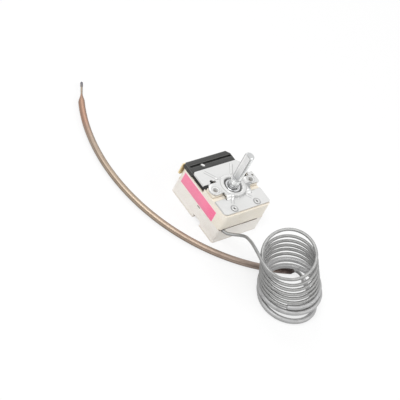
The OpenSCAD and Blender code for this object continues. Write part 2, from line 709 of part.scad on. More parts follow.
module switch_cover() color([0.22, 0.22, 0.23]) difference() {
    half = body_w / 2 - 0.1;
    union() {
        translate([0, 0, cover_z]) linear_extrude(cover_h) {
            polygon([[-half, bar_front], [half, bar_front], [half, bar_back - 2], [half - 1.4, bar_back],
                [-half, bar_back]]);
            translate([-arm_x0, arm_front + loose]) square([arm_x0 - arm_x1 - loose, bar_front - arm_front]);
        }
        block(0.2 - pocket_half, pocket_half - 0.2, pocket_y + 0.2, pocket_back - 0.2, cover_z - 0.7, cover_z + eps);
    }
    block(1.5 - half, half - 1.2, 21.4, 22.6, body_h - 1.3, body_h + 1);
    upright(-7.4, 20.6, 0.75 + running, cover_z + 0.4, body_h + 1);
}

module cover_pin() color([0.95, 0.95, 0.93]) translate([-7.4, 20.6, 0]) rotate_extrude()
    polygon([[0, cover_z + 0.45], [0.75, cover_z + 0.45], [0.75, body_h + 0.1], [0.45, body_h + 0.4],
        [0, body_h + 0.5]]);

module switch_plunger() color([0.95, 0.94, 0.9]) {
    tip_y = cam_r + loose;
    end_y = leaf_y - running;
    translate([0, 0, switch_z]) rotate([-90, 0, 0]) rotate_extrude()
        polygon([[0, tip_y], [0.5, tip_y + 0.05], [0.95, tip_y + 0.3], [plunger_r, tip_y + 0.8],
            [plunger_r, pocket_y + 0.15], [plunger_r + 0.5, pocket_y + 0.15],
            [plunger_r + 0.5, end_y - 0.25], [0.5, end_y], [0, end_y]]);
}

module auxiliary_leaf() color([0.78, 0.55, 0.32]) {
    translate([0, leaf_y + leaf_t, switch_z]) rotate([90, 0, 0]) linear_extrude(leaf_t) {
        translate([leaf_start, -leaf_half_h]) square([6, 2 * leaf_half_h]);
        translate([leaf_start, 0.5 - leaf_half_h]) square([leaf_end - leaf_start - leaf_half_h, 2 * leaf_half_h - 1]);
        translate([leaf_end - leaf_half_h, 0]) circle(leaf_half_h);
    }
}

module auxiliary_moving_contact() color([0.85, 0.86, 0.88])
    along_y(aux_contact_x, switch_z, contact_r, leaf_y + leaf_t, leaf_y + leaf_t + aux_contact_t);

module auxiliary_fixed_contact() color([0.85, 0.86, 0.88])
    along_y(aux_contact_x, switch_z, contact_r, aux_fixed_y, aux_fixed_y + aux_fixed_t);

// Brass strip folded down the back face
module rear_strip(x) {
    translate([x, strip_y + tab_t, 0]) rotate([90, 0, 0]) linear_extrude(tab_t) {
        polygon([[-tab_w / 2, strip_top], [-tab_w / 2, strip_low + 1], [-tab_w / 2 + 1.2, strip_low],
            [tab_w / 2 - 1.2, strip_low], [tab_w / 2, strip_low + 1], [tab_w / 2, strip_top]]);
    }
}

module auxiliary_terminal_left() color([0.8, 0.64, 0.36]) {
    rear_strip(left_strip_x);
    block(post_x0, post_x0 + post_w, leaf_y, strip_y + tab_t, neck_z, neck_z + tab_t);
    block(post_x0, post_x0 + post_w, leaf_y - 0.2, leaf_y + tab_t - 0.2, pocket_floor + 0.3, neck_z + tab_t);
}

module auxiliary_terminal_right() color([0.8, 0.64, 0.36]) {
    plate_y = aux_fixed_y + aux_fixed_t;
    rear_strip(right_strip_x);
    block(right_strip_x - post_w / 2, right_strip_x + post_w / 2, plate_y, strip_y + tab_t,
        neck_z, neck_z + tab_t);
    block(aux_contact_x - 2.5, aux_contact_x + 2.5, plate_y, plate_y + tab_t,
        pocket_floor + 0.3, neck_z + tab_t);
}

module side_label() color([0.96, 0.5, 0.63])
    block(-body_w / 2 - label_t, -body_w / 2, label_y0, label_y0 + label_len, label_z0, label_z0 + label_h);

module capillary_tube() color([0.6, 0.6, 0.61]) swept_tube(capillary_path, tube_r);

module capillary_sleeve() color([0.66, 0.66, 0.67]) swept_sleeve(sleeve_path, sleeve_r, tube_r + 0.15);

// Swaged end of the bulb: a short crimp round the tube, then a taper
module swaged_end(r, len) {
    rotate_extrude() polygon([[0, -crimp_len / 2], [bulb_r + crimp, -crimp_len / 2],
        [bulb_r + crimp, crimp_len / 2], [r, len], [0, len]]);
}

module sensing_bulb() color([0.6, 0.45, 0.36]) {
    translate([bulb_centre.x, bulb_centre.y, bulb_z]) rotate([0, 0, bulb_end_angle - bulb_bend_angle])
        rotate_extrude(angle = bulb_bend_angle, $fn = 180) translate([bulb_bend_r, 0]) circle(bulb_r);
    translate(bulb_end) rotate([0, 90, bulb_end_angle + 90]) swaged_end(neck_r, neck_len);
    tip_frame() swaged_end(stem_r, taper_len);
}

// Frame at the bulb's outer end, with Z pointing out along the stem
module tip_frame() {
    start = bulb_end_angle - bulb_bend_angle;
    translate([bulb_centre.x + bulb_bend_r * cos(start), bulb_centre.y + bulb_bend_r * sin(start), bulb_z])
        rotate([0, 90, start - 90 - tip_turn]) children();
}

module bulb_stem() color([0.66, 0.58, 0.48]) tip_frame() translate([0, 0, taper_len]) union() {
    cylinder(r = stem_r, h = stem_len);
    translate([0, 0, stem_len]) cylinder(r = bead_r, h = bead_len);
    translate([0, 0, stem_len + bead_len]) sphere(bead_r);
}

base_housing();
upper_housing();
mounting_bracket();
housing_rivets();
hub_bush();
wave_washer();
spindle();
control_cam();
adjusting_stud();
capsule_cup();
capsule_membrane();
push_pin();
pin_guide();
snap_blade();
moving_contact();
fixed_contact();
fixed_terminal();
moving_terminal();
calibration_screw();
switch_cover();
cover_pin();
switch_plunger();
auxiliary_leaf();
auxiliary_moving_contact();
auxiliary_fixed_contact();
auxiliary_terminal_left();
auxiliary_terminal_right();
side_label();
capillary_tube();
capillary_sleeve();
sensing_bulb();
bulb_stem();
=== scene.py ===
"""Looks of a cooktop temperature control with a coiled capillary and a long sensing bulb."""

import logging
import math
from dataclasses import dataclass, field
from enum import Enum
from functools import cached_property
from typing import Any, Sequence, TypeVar, Union

import bmesh
import bpy
from mathutils import Matrix, Vector


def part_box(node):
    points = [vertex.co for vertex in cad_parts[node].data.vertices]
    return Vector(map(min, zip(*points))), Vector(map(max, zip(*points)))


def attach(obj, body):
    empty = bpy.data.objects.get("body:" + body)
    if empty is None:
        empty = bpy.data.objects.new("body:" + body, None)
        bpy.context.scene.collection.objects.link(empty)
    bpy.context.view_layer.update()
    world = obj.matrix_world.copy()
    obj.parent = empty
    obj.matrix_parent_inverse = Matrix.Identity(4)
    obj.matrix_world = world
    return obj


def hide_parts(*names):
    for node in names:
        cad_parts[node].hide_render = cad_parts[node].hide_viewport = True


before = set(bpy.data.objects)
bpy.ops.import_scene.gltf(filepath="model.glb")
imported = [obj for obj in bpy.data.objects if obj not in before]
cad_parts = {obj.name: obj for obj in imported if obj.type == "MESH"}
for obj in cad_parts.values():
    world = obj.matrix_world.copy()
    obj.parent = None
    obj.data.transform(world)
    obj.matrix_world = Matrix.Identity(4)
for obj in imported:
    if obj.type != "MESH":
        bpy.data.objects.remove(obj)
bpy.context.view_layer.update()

LOG = logging.getLogger("temperature_control")
MM = 0.001

Colour = tuple[float, float, float]
Flat = tuple[float, float]
Point = tuple[float, float, float]
Box = tuple[Point, Point]
Plan = tuple[float, float, float, float]
Line = Sequence[tuple[Vector, float]]
Socket = bpy.types.NodeSocket
Material = bpy.types.Material
Track = TypeVar("Track", float, Vector)
Number = Union["Signal", float]


def srgb(*levels: int) -> Colour:
    """Turns a screen colour, three levels from 0 to 255, into the linear one that shaders use."""
    parts = (level / 255 for level in levels)
    return tuple(part / 12.92 if part <= 0.04045 else ((part + 0.055) / 1.055) ** 2.4 for part in parts)


def ease(low: float, high: float, value: float) -> float:
    """A step that goes smoothly from 0 at low to 1 at high, read at a value."""
    part = min(1.0, max(0.0, (value - low) / (high - low)))
    return part * part * (3 - 2 * part)


def arc(centre: Flat, radius: float, start: float, end: float, steps: int) -> list[Flat]:
    """Points on an arc in the plane.

    Args:
        centre: The arc's centre.
        radius: Its radius.
        start: First angle in degrees.
        end: Last angle in degrees.
        steps: Number of stretches.

    Returns:
        steps + 1 points.
    """
    found = []
    for step in range(steps + 1):
        angle = math.radians(start + (end - start) * step / steps)
        found.append((centre[0] + radius * math.cos(angle), centre[1] + radius * math.sin(angle)))
    return found


def circle(centre: Flat, radius: float, steps: int) -> list[Flat]:
    """Points all round a circle."""
    return arc(centre, radius, 0, 360, steps)[:-1]


def twins(x: float, y: float) -> list[Flat]:
    """A place and its mirror image, the one on the left first."""
    return [(-x, y), (x, y)]


def rectangle(west: float, south: float, east: float, north: float) -> list[Flat]:
    """The corners of a rectangle, counterclockwise."""
    return [(west, south), (east, south), (east, north), (west, north)]


def link(name: str, data: bpy.types.ID) -> bpy.types.Object:
    """Puts new data into the scene as an object."""
    made = bpy.data.objects.new(name, data)
    bpy.context.scene.collection.objects.link(made)
    return made


class Axis(Enum):
    """An axis of the piece's own coordinates."""

    X = 0
    Y = 1
    Z = 2


class Signal:
    """A number that varies over a surface; sums on it become Math nodes."""

    def __init__(self, shader: "Shader", socket: Socket) -> None:
        """Wraps an output socket."""
        self.shader = shader
        self.socket = socket

    def _math(self, operation: str, first: Number, second: Number = 0.0) -> "Signal":
        """Adds one Math node."""
        made = self.shader.node("ShaderNodeMath", {"operation": operation}, {0: first, 1: second})
        return Signal(self.shader, made.outputs[0])

    def __add__(self, other: Number) -> "Signal":
        """Sum."""
        return self._math("ADD", self, other)

    __radd__ = __add__

    def __sub__(self, other: Number) -> "Signal":
        """Difference."""
        return self._math("SUBTRACT", self, other)

    def __rsub__(self, other: Number) -> "Signal":
        """Difference the other way round."""
        return self._math("SUBTRACT", other, self)

    def __mul__(self, other: Number) -> "Signal":
        """Product."""
        return self._math("MULTIPLY", self, other)

    __rmul__ = __mul__

    def __truediv__(self, other: Number) -> "Signal":
        """Quotient."""
        return self._math("DIVIDE", self, other)

    def __rtruediv__(self, other: Number) -> "Signal":
        """Quotient the other way round."""
        return self._math("DIVIDE", other, self)

    def __pow__(self, other: Number) -> "Signal":
        """Power."""
        return self._math("POWER", self, other)

    def __rpow__(self, other: Number) -> "Signal":
        """Power the other way round."""
        return self._math("POWER", other, self)

    def __neg__(self) -> "Signal":
        """The same number with the other sign."""
        return self * -1.0

    def magnitude(self) -> "Signal":
        """The number without its sign."""
        return self._math("ABSOLUTE", self)

    def largest(self, other: Number) -> "Signal":
        """The larger of two numbers."""
        return self._math("MAXIMUM", self, other)

    def smallest(self, other: Number) -> "Signal":
        """The smaller of two numbers."""
        return self._math("MINIMUM", self, other)

    def turn_to(self, other: "Signal") -> "Signal":
        """The angle in degrees whose tangent is this number over the other."""
        return self._math("ARCTAN2", self, other) * (180 / math.pi)

    def length(self, other: "Signal") -> "Signal":
        """The length of a flat vector of two numbers."""
        return (self * self + other * other) ** 0.5

    def near(self, middle: float, outer: float, inner: float) -> "Signal":
        """1 within inner of the middle, and 0 from outer on."""
        return (self - middle).magnitude().step(outer, inner)

    def step(self, low: float, high: float) -> "Signal":
        """A smooth step from 0 at low to 1 at high, which may be below low."""
        sockets = {"Value": self, "From Min": low, "From Max": high}
        made = self.shader.node("ShaderNodeMapRange", {"interpolation_type": "SMOOTHSTEP"}, sockets)
        return Signal(self.shader, made.outputs[0])


class Shader:
    """One material or world with its nodes."""

    def __init__(self, name: str, world: bool = False) -> None:
        """Starts a material with a plain surface, or a world with a plain background."""
        self.material = (bpy.data.worlds if world else bpy.data.materials).new(name)
        self.material.use_nodes = True
        self.tree = self.material.node_tree
        self.surface = self.tree.nodes["Background" if world else "Principled BSDF"]

    def node(
        self, kind: str, settings: dict[str, Any] | None = None, sockets: dict[Any, Any] | None = None
    ) -> bpy.types.Node:
        """Adds a node.

        Args:
            kind: The node's type.
            settings: Its own settings, set first; "stops" is a ramp's list of (place, colour).
            sockets: Values or links of its sockets, by name or number.

        Returns:
            The new node.
        """
        made = self.tree.nodes.new(kind)
        for name, value in (settings or {}).items():
            if name == "stops":
                ramp = made.color_ramp
                while len(ramp.elements) < len(value):
                    ramp.elements.new(1.0)
                for stop, (place, colour) in zip(ramp.elements, value):
                    stop.position = place
                    stop.color = (*colour, 1.0)
            else:
                setattr(made, name, value)
        for name, value in (sockets or {}).items():
            self.feed(made.inputs[name], value)
        return made

    def feed(self, target: Socket, value: Any) -> None:
        """Links or sets one socket.

        Args:
            target: The socket.
            value: A signal, an output socket, a number, a colour or a vector.
        """
        if isinstance(value, Signal):
            value = value.socket
        if isinstance(value, Socket):
            self.tree.links.new(value, target)
        elif isinstance(value, (tuple, list)) and len(value) == 3 and target.type == "RGBA":
            target.default_value = (*value, 1.0)
        else:
            target.default_value = value

    def place(self, stretch: Point = (1.0, 1.0, 1.0)) -> Socket:
        """The point on the piece in millimetres, stretched along the axes."""
        sockets = {0: self.node("ShaderNodeTexCoord").outputs["Object"], 1: [part / MM for part in stretch]}
        return self.node("ShaderNodeVectorMath", {"operation": "MULTIPLY"}, sockets).outputs[0]

    def along(self, axis: Axis) -> Signal:
        """The coordinate along one axis, in millimetres."""
        parts = self.node("ShaderNodeSeparateXYZ", None, {0: self.place()})
        return Signal(self, parts.outputs[axis.value])

    def within(self, low: Point, high: Point, soft: float = 0.12) -> Signal:
        """Marks a box on the piece.

        Args:
            low: Its low corner in millimetres.
            high: Its high corner in millimetres.
            soft: Half the width of its soft border.

        Returns:
            1 inside the box and 0 outside it.
        """
        sides = []
        for axis, start, end in zip(Axis, low, high):
            here = self.along(axis)
            sides.append((here - start).smallest(end - here).step(-soft, soft))
        return sides[0] * sides[1] * sides[2]

    def noise(
        self, size: float, detail: float = 3.0, rough: float = 0.55, stretch: Point = (1.0, 1.0, 1.0)
    ) -> Signal:
        """Clouds round 0.5 of a size in millimetres, squeezed along each axis by its stretch."""
        sockets = {"Vector": self.place(stretch), "Scale": 1.0 / size, "Detail": detail, "Roughness": rough}
        return Signal(self, self.node("ShaderNodeTexNoise", None, sockets).outputs["Fac"])

    def cells(self, size: float) -> Signal:
        """Random grains of a size in millimetres, each with one number from 0 to 1."""
        made = self.node("ShaderNodeTexVoronoi", None, {"Vector": self.place(), "Scale": 1.0 / size})
        grey = self.node("ShaderNodeSeparateColor", None, {0: made.outputs["Color"]})
        return Signal(self, grey.outputs[0])

    def hollow(self, reach: float) -> Signal:
        """How open a point is: 1 in the open, less where something is within reach in millimetres."""
        made = self.node("ShaderNodeAmbientOcclusion", {"samples": 6}, {"Distance": reach * MM})
        return Signal(self, made.outputs["AO"])

    def rim(self, width: float, gain: float = 1.5) -> Signal:
        """How near a sharp edge a point is.

        Args:
            width: How far from the edge it reaches, in millimetres.
            gain: How fast it grows towards the edge.

        Returns:
            0 on open faces and up to about 1 on edges.
        """
        soft = self.node("ShaderNodeBevel", {"samples": 8}, {"Radius": width * MM})
        true = self.node("ShaderNodeNewGeometry").outputs["Normal"]
        both = {0: soft.outputs[0], 1: true}
        likeness = self.node("ShaderNodeVectorMath", {"operation": "DOT_PRODUCT"}, both)
        return (1.0 - Signal(self, likeness.outputs["Value"])).largest(0.0) ** 0.5 * gain

    def mix(self, factor: Number, first: Any, second: Any) -> Socket:
        """Mixes two colours, each a value or a socket: factor 0 gives the first, 1 the second."""
        settings = {"data_type": "RGBA", "clamp_factor": True}
        return self.node("ShaderNodeMix", settings, {0: factor, 6: first, 7: second}).outputs[2]

    def ramp(self, value: Number, stops: Sequence[tuple[float, Colour]]) -> Socket:
        """Turns a number from 0 to 1 into a colour by its stops, places with their colours."""
        return self.node("ShaderNodeValToRGB", {"stops": list(stops)}, {0: value}).outputs[0]

    def relief(self, height: Signal, depth: float, edge: float = 0.0) -> Socket:
        """A bumped normal, with soft edges where asked.

        Args:
            height: The relief, 0 to 1.
            depth: Its depth in millimetres.
            edge: Radius of the softened edges in millimetres.

        Returns:
            The normal.
        """
        sockets: dict[Any, Any] = {"Height": height, "Distance": depth * MM, "Strength": 1.0}
        if edge > 0:
            soft = self.node("ShaderNodeBevel", {"samples": 6}, {"Radius": edge * MM})
            sockets["Normal"] = soft.outputs[0]
        return self.node("ShaderNodeBump", None, sockets).outputs[0]

    def paint(self, **values: Any) -> Material:
        """Sets the surface's sockets, by name with _ for a space, and gives the material."""
        for name, value in values.items():
            self.feed(self.surface.inputs[name.replace("_", " ")], value)
        return self.material


@dataclass(frozen=True)
class Moulding:
    """Moulded plastic with a faint mottle, grain and soft edges, with painted shade in its hollows, painted
    highlights on its open edges and painted shadow in given boxes.
    """

    name: str
    colour: Colour
    deep: Colour
    pale: Colour
    roughness: float = 0.5
    edge: float = 0.25
    grain: float = 0.01
    edge_sheen: float = 0.0
    glint: float = 4.0
    shadow_boxes: tuple[Box, ...] = ()
    shadow_tone: Colour = srgb(88, 66, 50)
    cloud_size: float = 7.0
    speck_size: float = 0.35
    reach: float = 1.6

    def material(self) -> Material:
        """Builds the material."""
        shader = Shader(self.name)
        cloud = shader.noise(self.cloud_size, 4.0)
        speck = shader.noise(self.speck_size, 2.0)
        open_air = shader.hollow(self.reach)
        tone = shader.mix((cloud - 0.35) * 1.6, self.colour, self.pale)
        tone = shader.mix((speck - 0.52) * 1.1, tone, self.deep)
        # Painted shade: darker towards the deep colour in hollows and corners.
        tone = shader.mix((1.0 - open_air) * 0.75, tone, self.deep)
        # Painted highlight: paler along sharp edges that stand in the open.
        if self.edge_sheen > 0:
            sheen_tone = tuple(part * self.glint for part in self.pale)
            tone = shader.mix(shader.rim(0.6) * self.edge_sheen * open_air**3.0, tone, sheen_tone)
        # Painted shadow: the shadow tone laid over each listed box.
        for low, high in self.shadow_boxes:
            tone = shader.mix(shader.within(low, high) * 0.8, tone, self.shadow_tone)
        skin = shader.noise(0.22, 3.0) * 0.7 + cloud * 0.3
        return shader.paint(
            Base_Color=tone,
            Roughness=self.roughness + (cloud - 0.5) * 0.16 + (speck - 0.5) * 0.1,
            Specular_IOR_Level=0.4,
            Normal=shader.relief(skin, self.grain, self.edge),
        )


@dataclass(frozen=True)
class Metal:
    """Bare or plated metal with rolling or turning marks, a faint tarnish, and painted shade in hollows,
    along sharp edges and on the lines of its shape.
    """

    name: str
    colour: Colour
    tarnish_and_shade: Colour
    roughness: float = 0.3
    marks: Axis = Axis.X
    mark_size: float = 0.12
    depth: float = 0.004
    edge: float = 0.12
    stain: float = 0.35
    metallic: float = 1.0
    reach: float = 1.8
    draw: float = 0.05
    cloud_size: float = 5.0
    grain_size: float = 0.9

    def shade_lines(self, shader: Shader) -> Number:
        """How strong the painted shade on the lines of its shape is; none on a plain piece."""
        return 0.0

    def material(self) -> Material:
        """Builds the material."""
        shader = Shader(self.name)
        squeeze = tuple(self.draw if axis is self.marks else 1.0 for axis in Axis)
        lines = shader.noise(self.mark_size, 3.0, 0.6, squeeze)
        cloud = shader.noise(self.cloud_size, 5.0, 0.6)
        grain = shader.cells(self.grain_size)
        blot = ((cloud - 0.5) * 3.0 + (lines - 0.5) * 0.8).largest(0.0)
        tone = shader.mix(blot * self.stain, self.colour, self.tarnish_and_shade)
        # Painted shade: darker towards the tarnish-and-shade colour in hollows, along sharp edges and on the
        # shade lines.
        shade = (1.0 - shader.hollow(self.reach)) * 1.1 - 0.12
        if self.edge > 0:
            shade = shade.largest(shader.rim(0.25) * 0.7)
        tone = shader.mix(shade.largest(self.shade_lines(shader)), tone, self.tarnish_and_shade)
        rough = self.roughness + (lines - 0.5) * 0.18 + blot * 0.12 + (grain - 0.5) * 0.04
        return shader.paint(
            Base_Color=tone,
            Metallic=self.metallic,
            Roughness=rough.largest(0.06),
            Normal=shader.relief(lines, self.depth, self.edge),
        )


@dataclass(frozen=True)
class PressedSteel(Metal):
    """Plated sheet with painted shade lines where it is bent and around what stands in it, and painted shade
    over the gusset.
    """

    boss_r: float = 8.4
    rib_angle: float = 35.0
    rib_half: float = 0.85
    rib_front: float = 13.2
    rib_rear: float = 18.6
    rivet: Flat = (9.0, -14.5)
    rivet_r: float = 2.2
    hole_x: float = 14.0
    collar_r: float = 2.5
    gusset_shade: Box = ((8.3, -6.5, 20.0), (13.2, -1.6, 30.0))

    def shade_lines(self, shader: Shader) -> Number:
        """How strong the painted shade on the lines and over the gusset is."""
        x, y = shader.along(Axis.X).magnitude(), shader.along(Axis.Y)
        sine, cosine = math.sin(math.radians(self.rib_angle)), math.cos(math.radians(self.rib_angle))
        aside = (x * cosine - y.magnitude() * sine).magnitude()
        forward = x * sine + y.magnitude() * cosine
        reach = y.step(-1.0, 1.0) * (self.rib_rear - self.rib_front) + self.rib_front
        ribs = aside.near(self.rib_half, 0.4, 0.12) * forward.step(7.8, 9.0)
        ribs = ribs * (forward - reach).step(0.9, -0.4)
        boss = x.length(y).near(self.boss_r, 0.45, 0.135)
        heads = (x - self.rivet[0]).length(y - self.rivet[1]).near(self.rivet_r, 0.5, 0.15)
        collars = (x - self.hole_x).length(y).near(self.collar_r, 0.5, 0.15)
        lines = (ribs.largest(boss) * 0.4).largest(heads * 0.6).largest(collars * 0.3)
        return lines.largest(shader.within(*self.gusset_shade, 0.5) * 0.6)


@dataclass(frozen=True)
class TurnedShaft:
    """Turned steel with fine rings and a milled flat."""

    name: str
    colour: Colour
    shade: Colour
    glint: Colour
    flat_x: float
    flat_z: float
    top: float
    flat_edge: float = 2.4
    glint_y: float = 1.5

    def material(self) -> Material:
        """Builds the material."""
        shader = Shader(self.name)
        beside, up = shader.along(Axis.Y), shader.along(Axis.Z)
        above = up.step(self.flat_z, self.flat_z + 0.1)
        on_flat = shader.along(Axis.X).step(self.flat_x + 0.1, self.flat_x) * above
        rings = shader.noise(0.16, 3.0, 0.6, (0.03, 0.03, 1.0))
        strokes = shader.noise(0.2, 3.0, 0.6, (0.2, 1.0, 0.05))
        marks = rings * (1.0 - on_flat) + strokes * on_flat
        cloud = shader.noise(4.0, 4.0)
        tone = shader.mix((cloud - 0.4) * 0.8, self.colour, tuple(part * 0.8 for part in self.colour))
        shade = ((1.0 - shader.hollow(3.0)) * 1.1 - 0.1).largest(shader.rim(0.4, 2.2).smallest(0.7))
        shade = shade.largest(up.step(self.top - 1.1, self.top - 0.7) * 0.4)
        shade = shade.largest(on_flat * up.step(self.flat_z + 9.0, self.flat_z) * 0.45)
        shade = shade.largest(on_flat * beside.magnitude().near(self.flat_edge, 0.4, 0.1) * 0.6)
        tone = shader.mix(shade, tone, self.shade)
        tone = shader.mix(on_flat * beside.near(self.glint_y, 0.55, 0.2) * 0.6, tone, self.glint)
        return shader.paint(
            Base_Color=tone,
            Metallic=0.72,
            Roughness=0.26 + (marks - 0.5) * 0.2 + on_flat * 0.08,
            Normal=shader.relief(marks, 0.004, 0.1),
        )


@dataclass(frozen=True)
class BulbPatina:
    """Drawn metal that has browned unevenly along its bend, with a painted highlight band and painted shade
    bands along it.
    """

    name: str
    centre: Flat
    radius: float
    level: float
    start: float
    end: float
    stops: tuple[tuple[float, Colour], ...]
    blot: Colour = srgb(104, 84, 74)
    painted_highlight: Colour = srgb(224, 204, 182)
    shade: Colour = srgb(84, 68, 58)

    def material(self) -> Material:
        """Builds the material."""
        shader = Shader(self.name)
        east = shader.along(Axis.X) - self.centre[0]
        north = shader.along(Axis.Y) - self.centre[1]
        angle = (-north).turn_to(-east) + 180
        share = (angle - self.start) / (self.end - self.start)
        cloud = shader.noise(9.0, 5.0, 0.65)
        fine = shader.noise(0.5, 3.0, 0.6)
        tone = shader.ramp(share + (cloud - 0.5) * 0.12, self.stops)
        tone = shader.mix((cloud - 0.5) * 1.4 + (fine - 0.5) * 0.5, tone, self.blot)
        around = (shader.along(Axis.Z) - self.level).turn_to(east.length(north) - self.radius)
        # Painted highlight: a pale band along one side of the tube, over part of the bend.
        painted_highlight = around.near(52.0, 16.0, 4.0) * (cloud * 0.6 + 0.2)
        tone = shader.mix(painted_highlight * share.step(0.17, 0.3) * share.step(0.6, 0.4), tone, self.painted_highlight)
        # Painted shade and painted reflection: a thin dark reflection line, and darker lower outer and upper
        # inner sides.
        painted_shade = around.near(30.0, 9.0, 3.0) * 0.4
        painted_shade = painted_shade.largest(around.step(8.0, -14.0) * 0.55).largest(around.step(102.0, 125.0) * 0.5)
        return shader.paint(
            Base_Color=shader.mix(painted_shade, tone, self.shade),
            Metallic=0.6,
            Roughness=0.43 + (cloud - 0.5) * 0.2 + (fine - 0.5) * 0.16,
            Normal=shader.relief(fine * 0.6 + cloud * 0.4, 0.012),
        )


@dataclass(frozen=True)
class PinkPaper:
    """Printed paper with a pale rim, left without print."""

    name: str
    colour: Colour
    deep: Colour
    rim: Colour
    low: Flat
    high: Flat
    rim_width: float = 0.4
    deep_width: float = 12.0

    def material(self) -> Material:
        """Builds the material."""
        shader = Shader(self.name)
        across, up = shader.along(Axis.Y), shader.along(Axis.Z)
        inside = (across - self.low[0]).smallest(self.high[0] - across)
        inside = inside.smallest(up - self.low[1]).smallest(self.high[1] - up)
        printed = inside.step(self.rim_width - 0.12, self.rim_width + 0.12)
        cloud = shader.noise(3.0, 4.0)
        fibre = shader.noise(0.25, 3.0, 0.6, (1.0, 0.25, 1.0))
        pale = tuple(min(1.0, part * 1.12) for part in self.colour)
        ink = shader.mix((cloud - 0.4) * 0.9, self.colour, pale)
        ink = shader.mix(across.step(self.low[0] + self.deep_width, self.low[0]) * 0.6, ink, self.deep)
        ink = shader.mix((fibre - 0.58) * 2.0, ink, self.rim)
        return shader.paint(
            Base_Color=shader.mix(printed, self.rim, ink),
            Roughness=0.42 + (fibre - 0.5) * 0.2,
            Coat_Weight=0.12,
            Normal=shader.relief(fibre * 0.6 + cloud * 0.4, 0.012),
        )


# Boxes with painted shadow: the gaps between the mouldings, a slot in the base's left side, and the cover's
# side arm.
UPPER_GAP_SHADOWS: tuple[Box, ...] = (
    ((-17.6, -18.8, 11.25), (0.6, -16.6, 11.75)),
    ((0.4, -18.8, 10.92), (12.8, -18.2, 11.98)),
)
BASE_GAP_SHADOWS: tuple[Box, ...] = (*UPPER_GAP_SHADOWS, ((-18.2, 0.7, 9.8), (-17.7, 3.3, 10.6)))
COVER_ARM_SHADE: tuple[Box, ...] = (((-18.2, 3.6, 20.0), (-9.0, 16.0, 24.6)),)


class Finish(Enum):
    """The finishes that are known beforehand; shaft, bulb, stem and label make their own."""

    BASE = Moulding(
        "base plastic", srgb(242, 238, 231), srgb(176, 154, 122), srgb(247, 244, 240), shadow_boxes=BASE_GAP_SHADOWS
    )
    UPPER = Moulding(
        "upper plastic", srgb(241, 234, 220), srgb(160, 132, 96), srgb(246, 241, 231), shadow_boxes=UPPER_GAP_SHADOWS
    )
    # Black cover: painted highlights on its open edges and painted shade on its side arm.
    BLACK = Moulding(
        "black plastic", srgb(48, 48, 47), srgb(10, 10, 10), srgb(66, 66, 65), 0.42, 0.2,
        edge_sheen=0.9, shadow_boxes=COVER_ARM_SHADE, shadow_tone=srgb(8, 8, 7),
    )
    BROWN = Moulding("brown plastic", srgb(120, 80, 52), srgb(70, 44, 26), srgb(140, 98, 66))
    CERAMIC = Moulding("fired ceramic", srgb(238, 236, 228), srgb(208, 202, 188), srgb(246, 245, 240), 0.35)
    ZINC = PressedSteel(
        "zinc plate", srgb(217, 217, 216), srgb(112, 113, 113), 0.36, stain=0.12, metallic=0.62
    )
    # Duller than the plate, and made paler with almost no painted shade so that the collars' bores read lit:
    # the paleness is painted light.
    THREAD = Metal(
        "threaded zinc", srgb(226, 226, 225), srgb(176, 176, 174), 0.42, Axis.Z,
        stain=0.5, metallic=0.1, reach=0.3,
    )
    RIVET = Metal(
        "rivet steel", srgb(198, 198, 197), srgb(138, 138, 137), 0.42, Axis.Z, stain=0.3, metallic=0.5
    )
    BRIGHT = Metal("bright steel", srgb(218, 219, 221), srgb(120, 118, 112), 0.24, Axis.Z)
    PRESSED = Metal("pressed steel", srgb(190, 190, 192), srgb(130, 126, 120), 0.35)
    SILVER = Metal("contact silver", srgb(222, 222, 220), srgb(160, 156, 148), 0.3)
    BRASS = Metal("rolled brass", srgb(246, 228, 184), srgb(176, 146, 92), 0.34, Axis.Y, metallic=0.45)
    BRONZE = Metal("spring bronze", srgb(196, 146, 98), srgb(134, 92, 58), 0.28, Axis.Y)
    # Long reaches darken the coil's inner turns with painted shade.
    TUBE = Metal(
        "capillary metal", srgb(155, 155, 154), srgb(66, 65, 64), 0.52, Axis.Z,
        mark_size=0.3, edge=0.0, stain=0.25, metallic=0.75, reach=14.0,
    )
    SLEEVE = Metal(
        "sleeve metal", srgb(173, 173, 173), srgb(110, 109, 109), 0.56, Axis.Z,
        mark_size=0.3, depth=0.005, edge=0.0, stain=0.4, metallic=0.7, reach=4.0,
    )

    @cached_property
    def material(self) -> Material:
        """Its material, built when it is first asked for."""
        return self.value.material()


class Keep(Enum):
    """Which part of a mesh is left after a cut."""

    OUTSIDE = "DIFFERENCE"
    INSIDE = "INTERSECT"


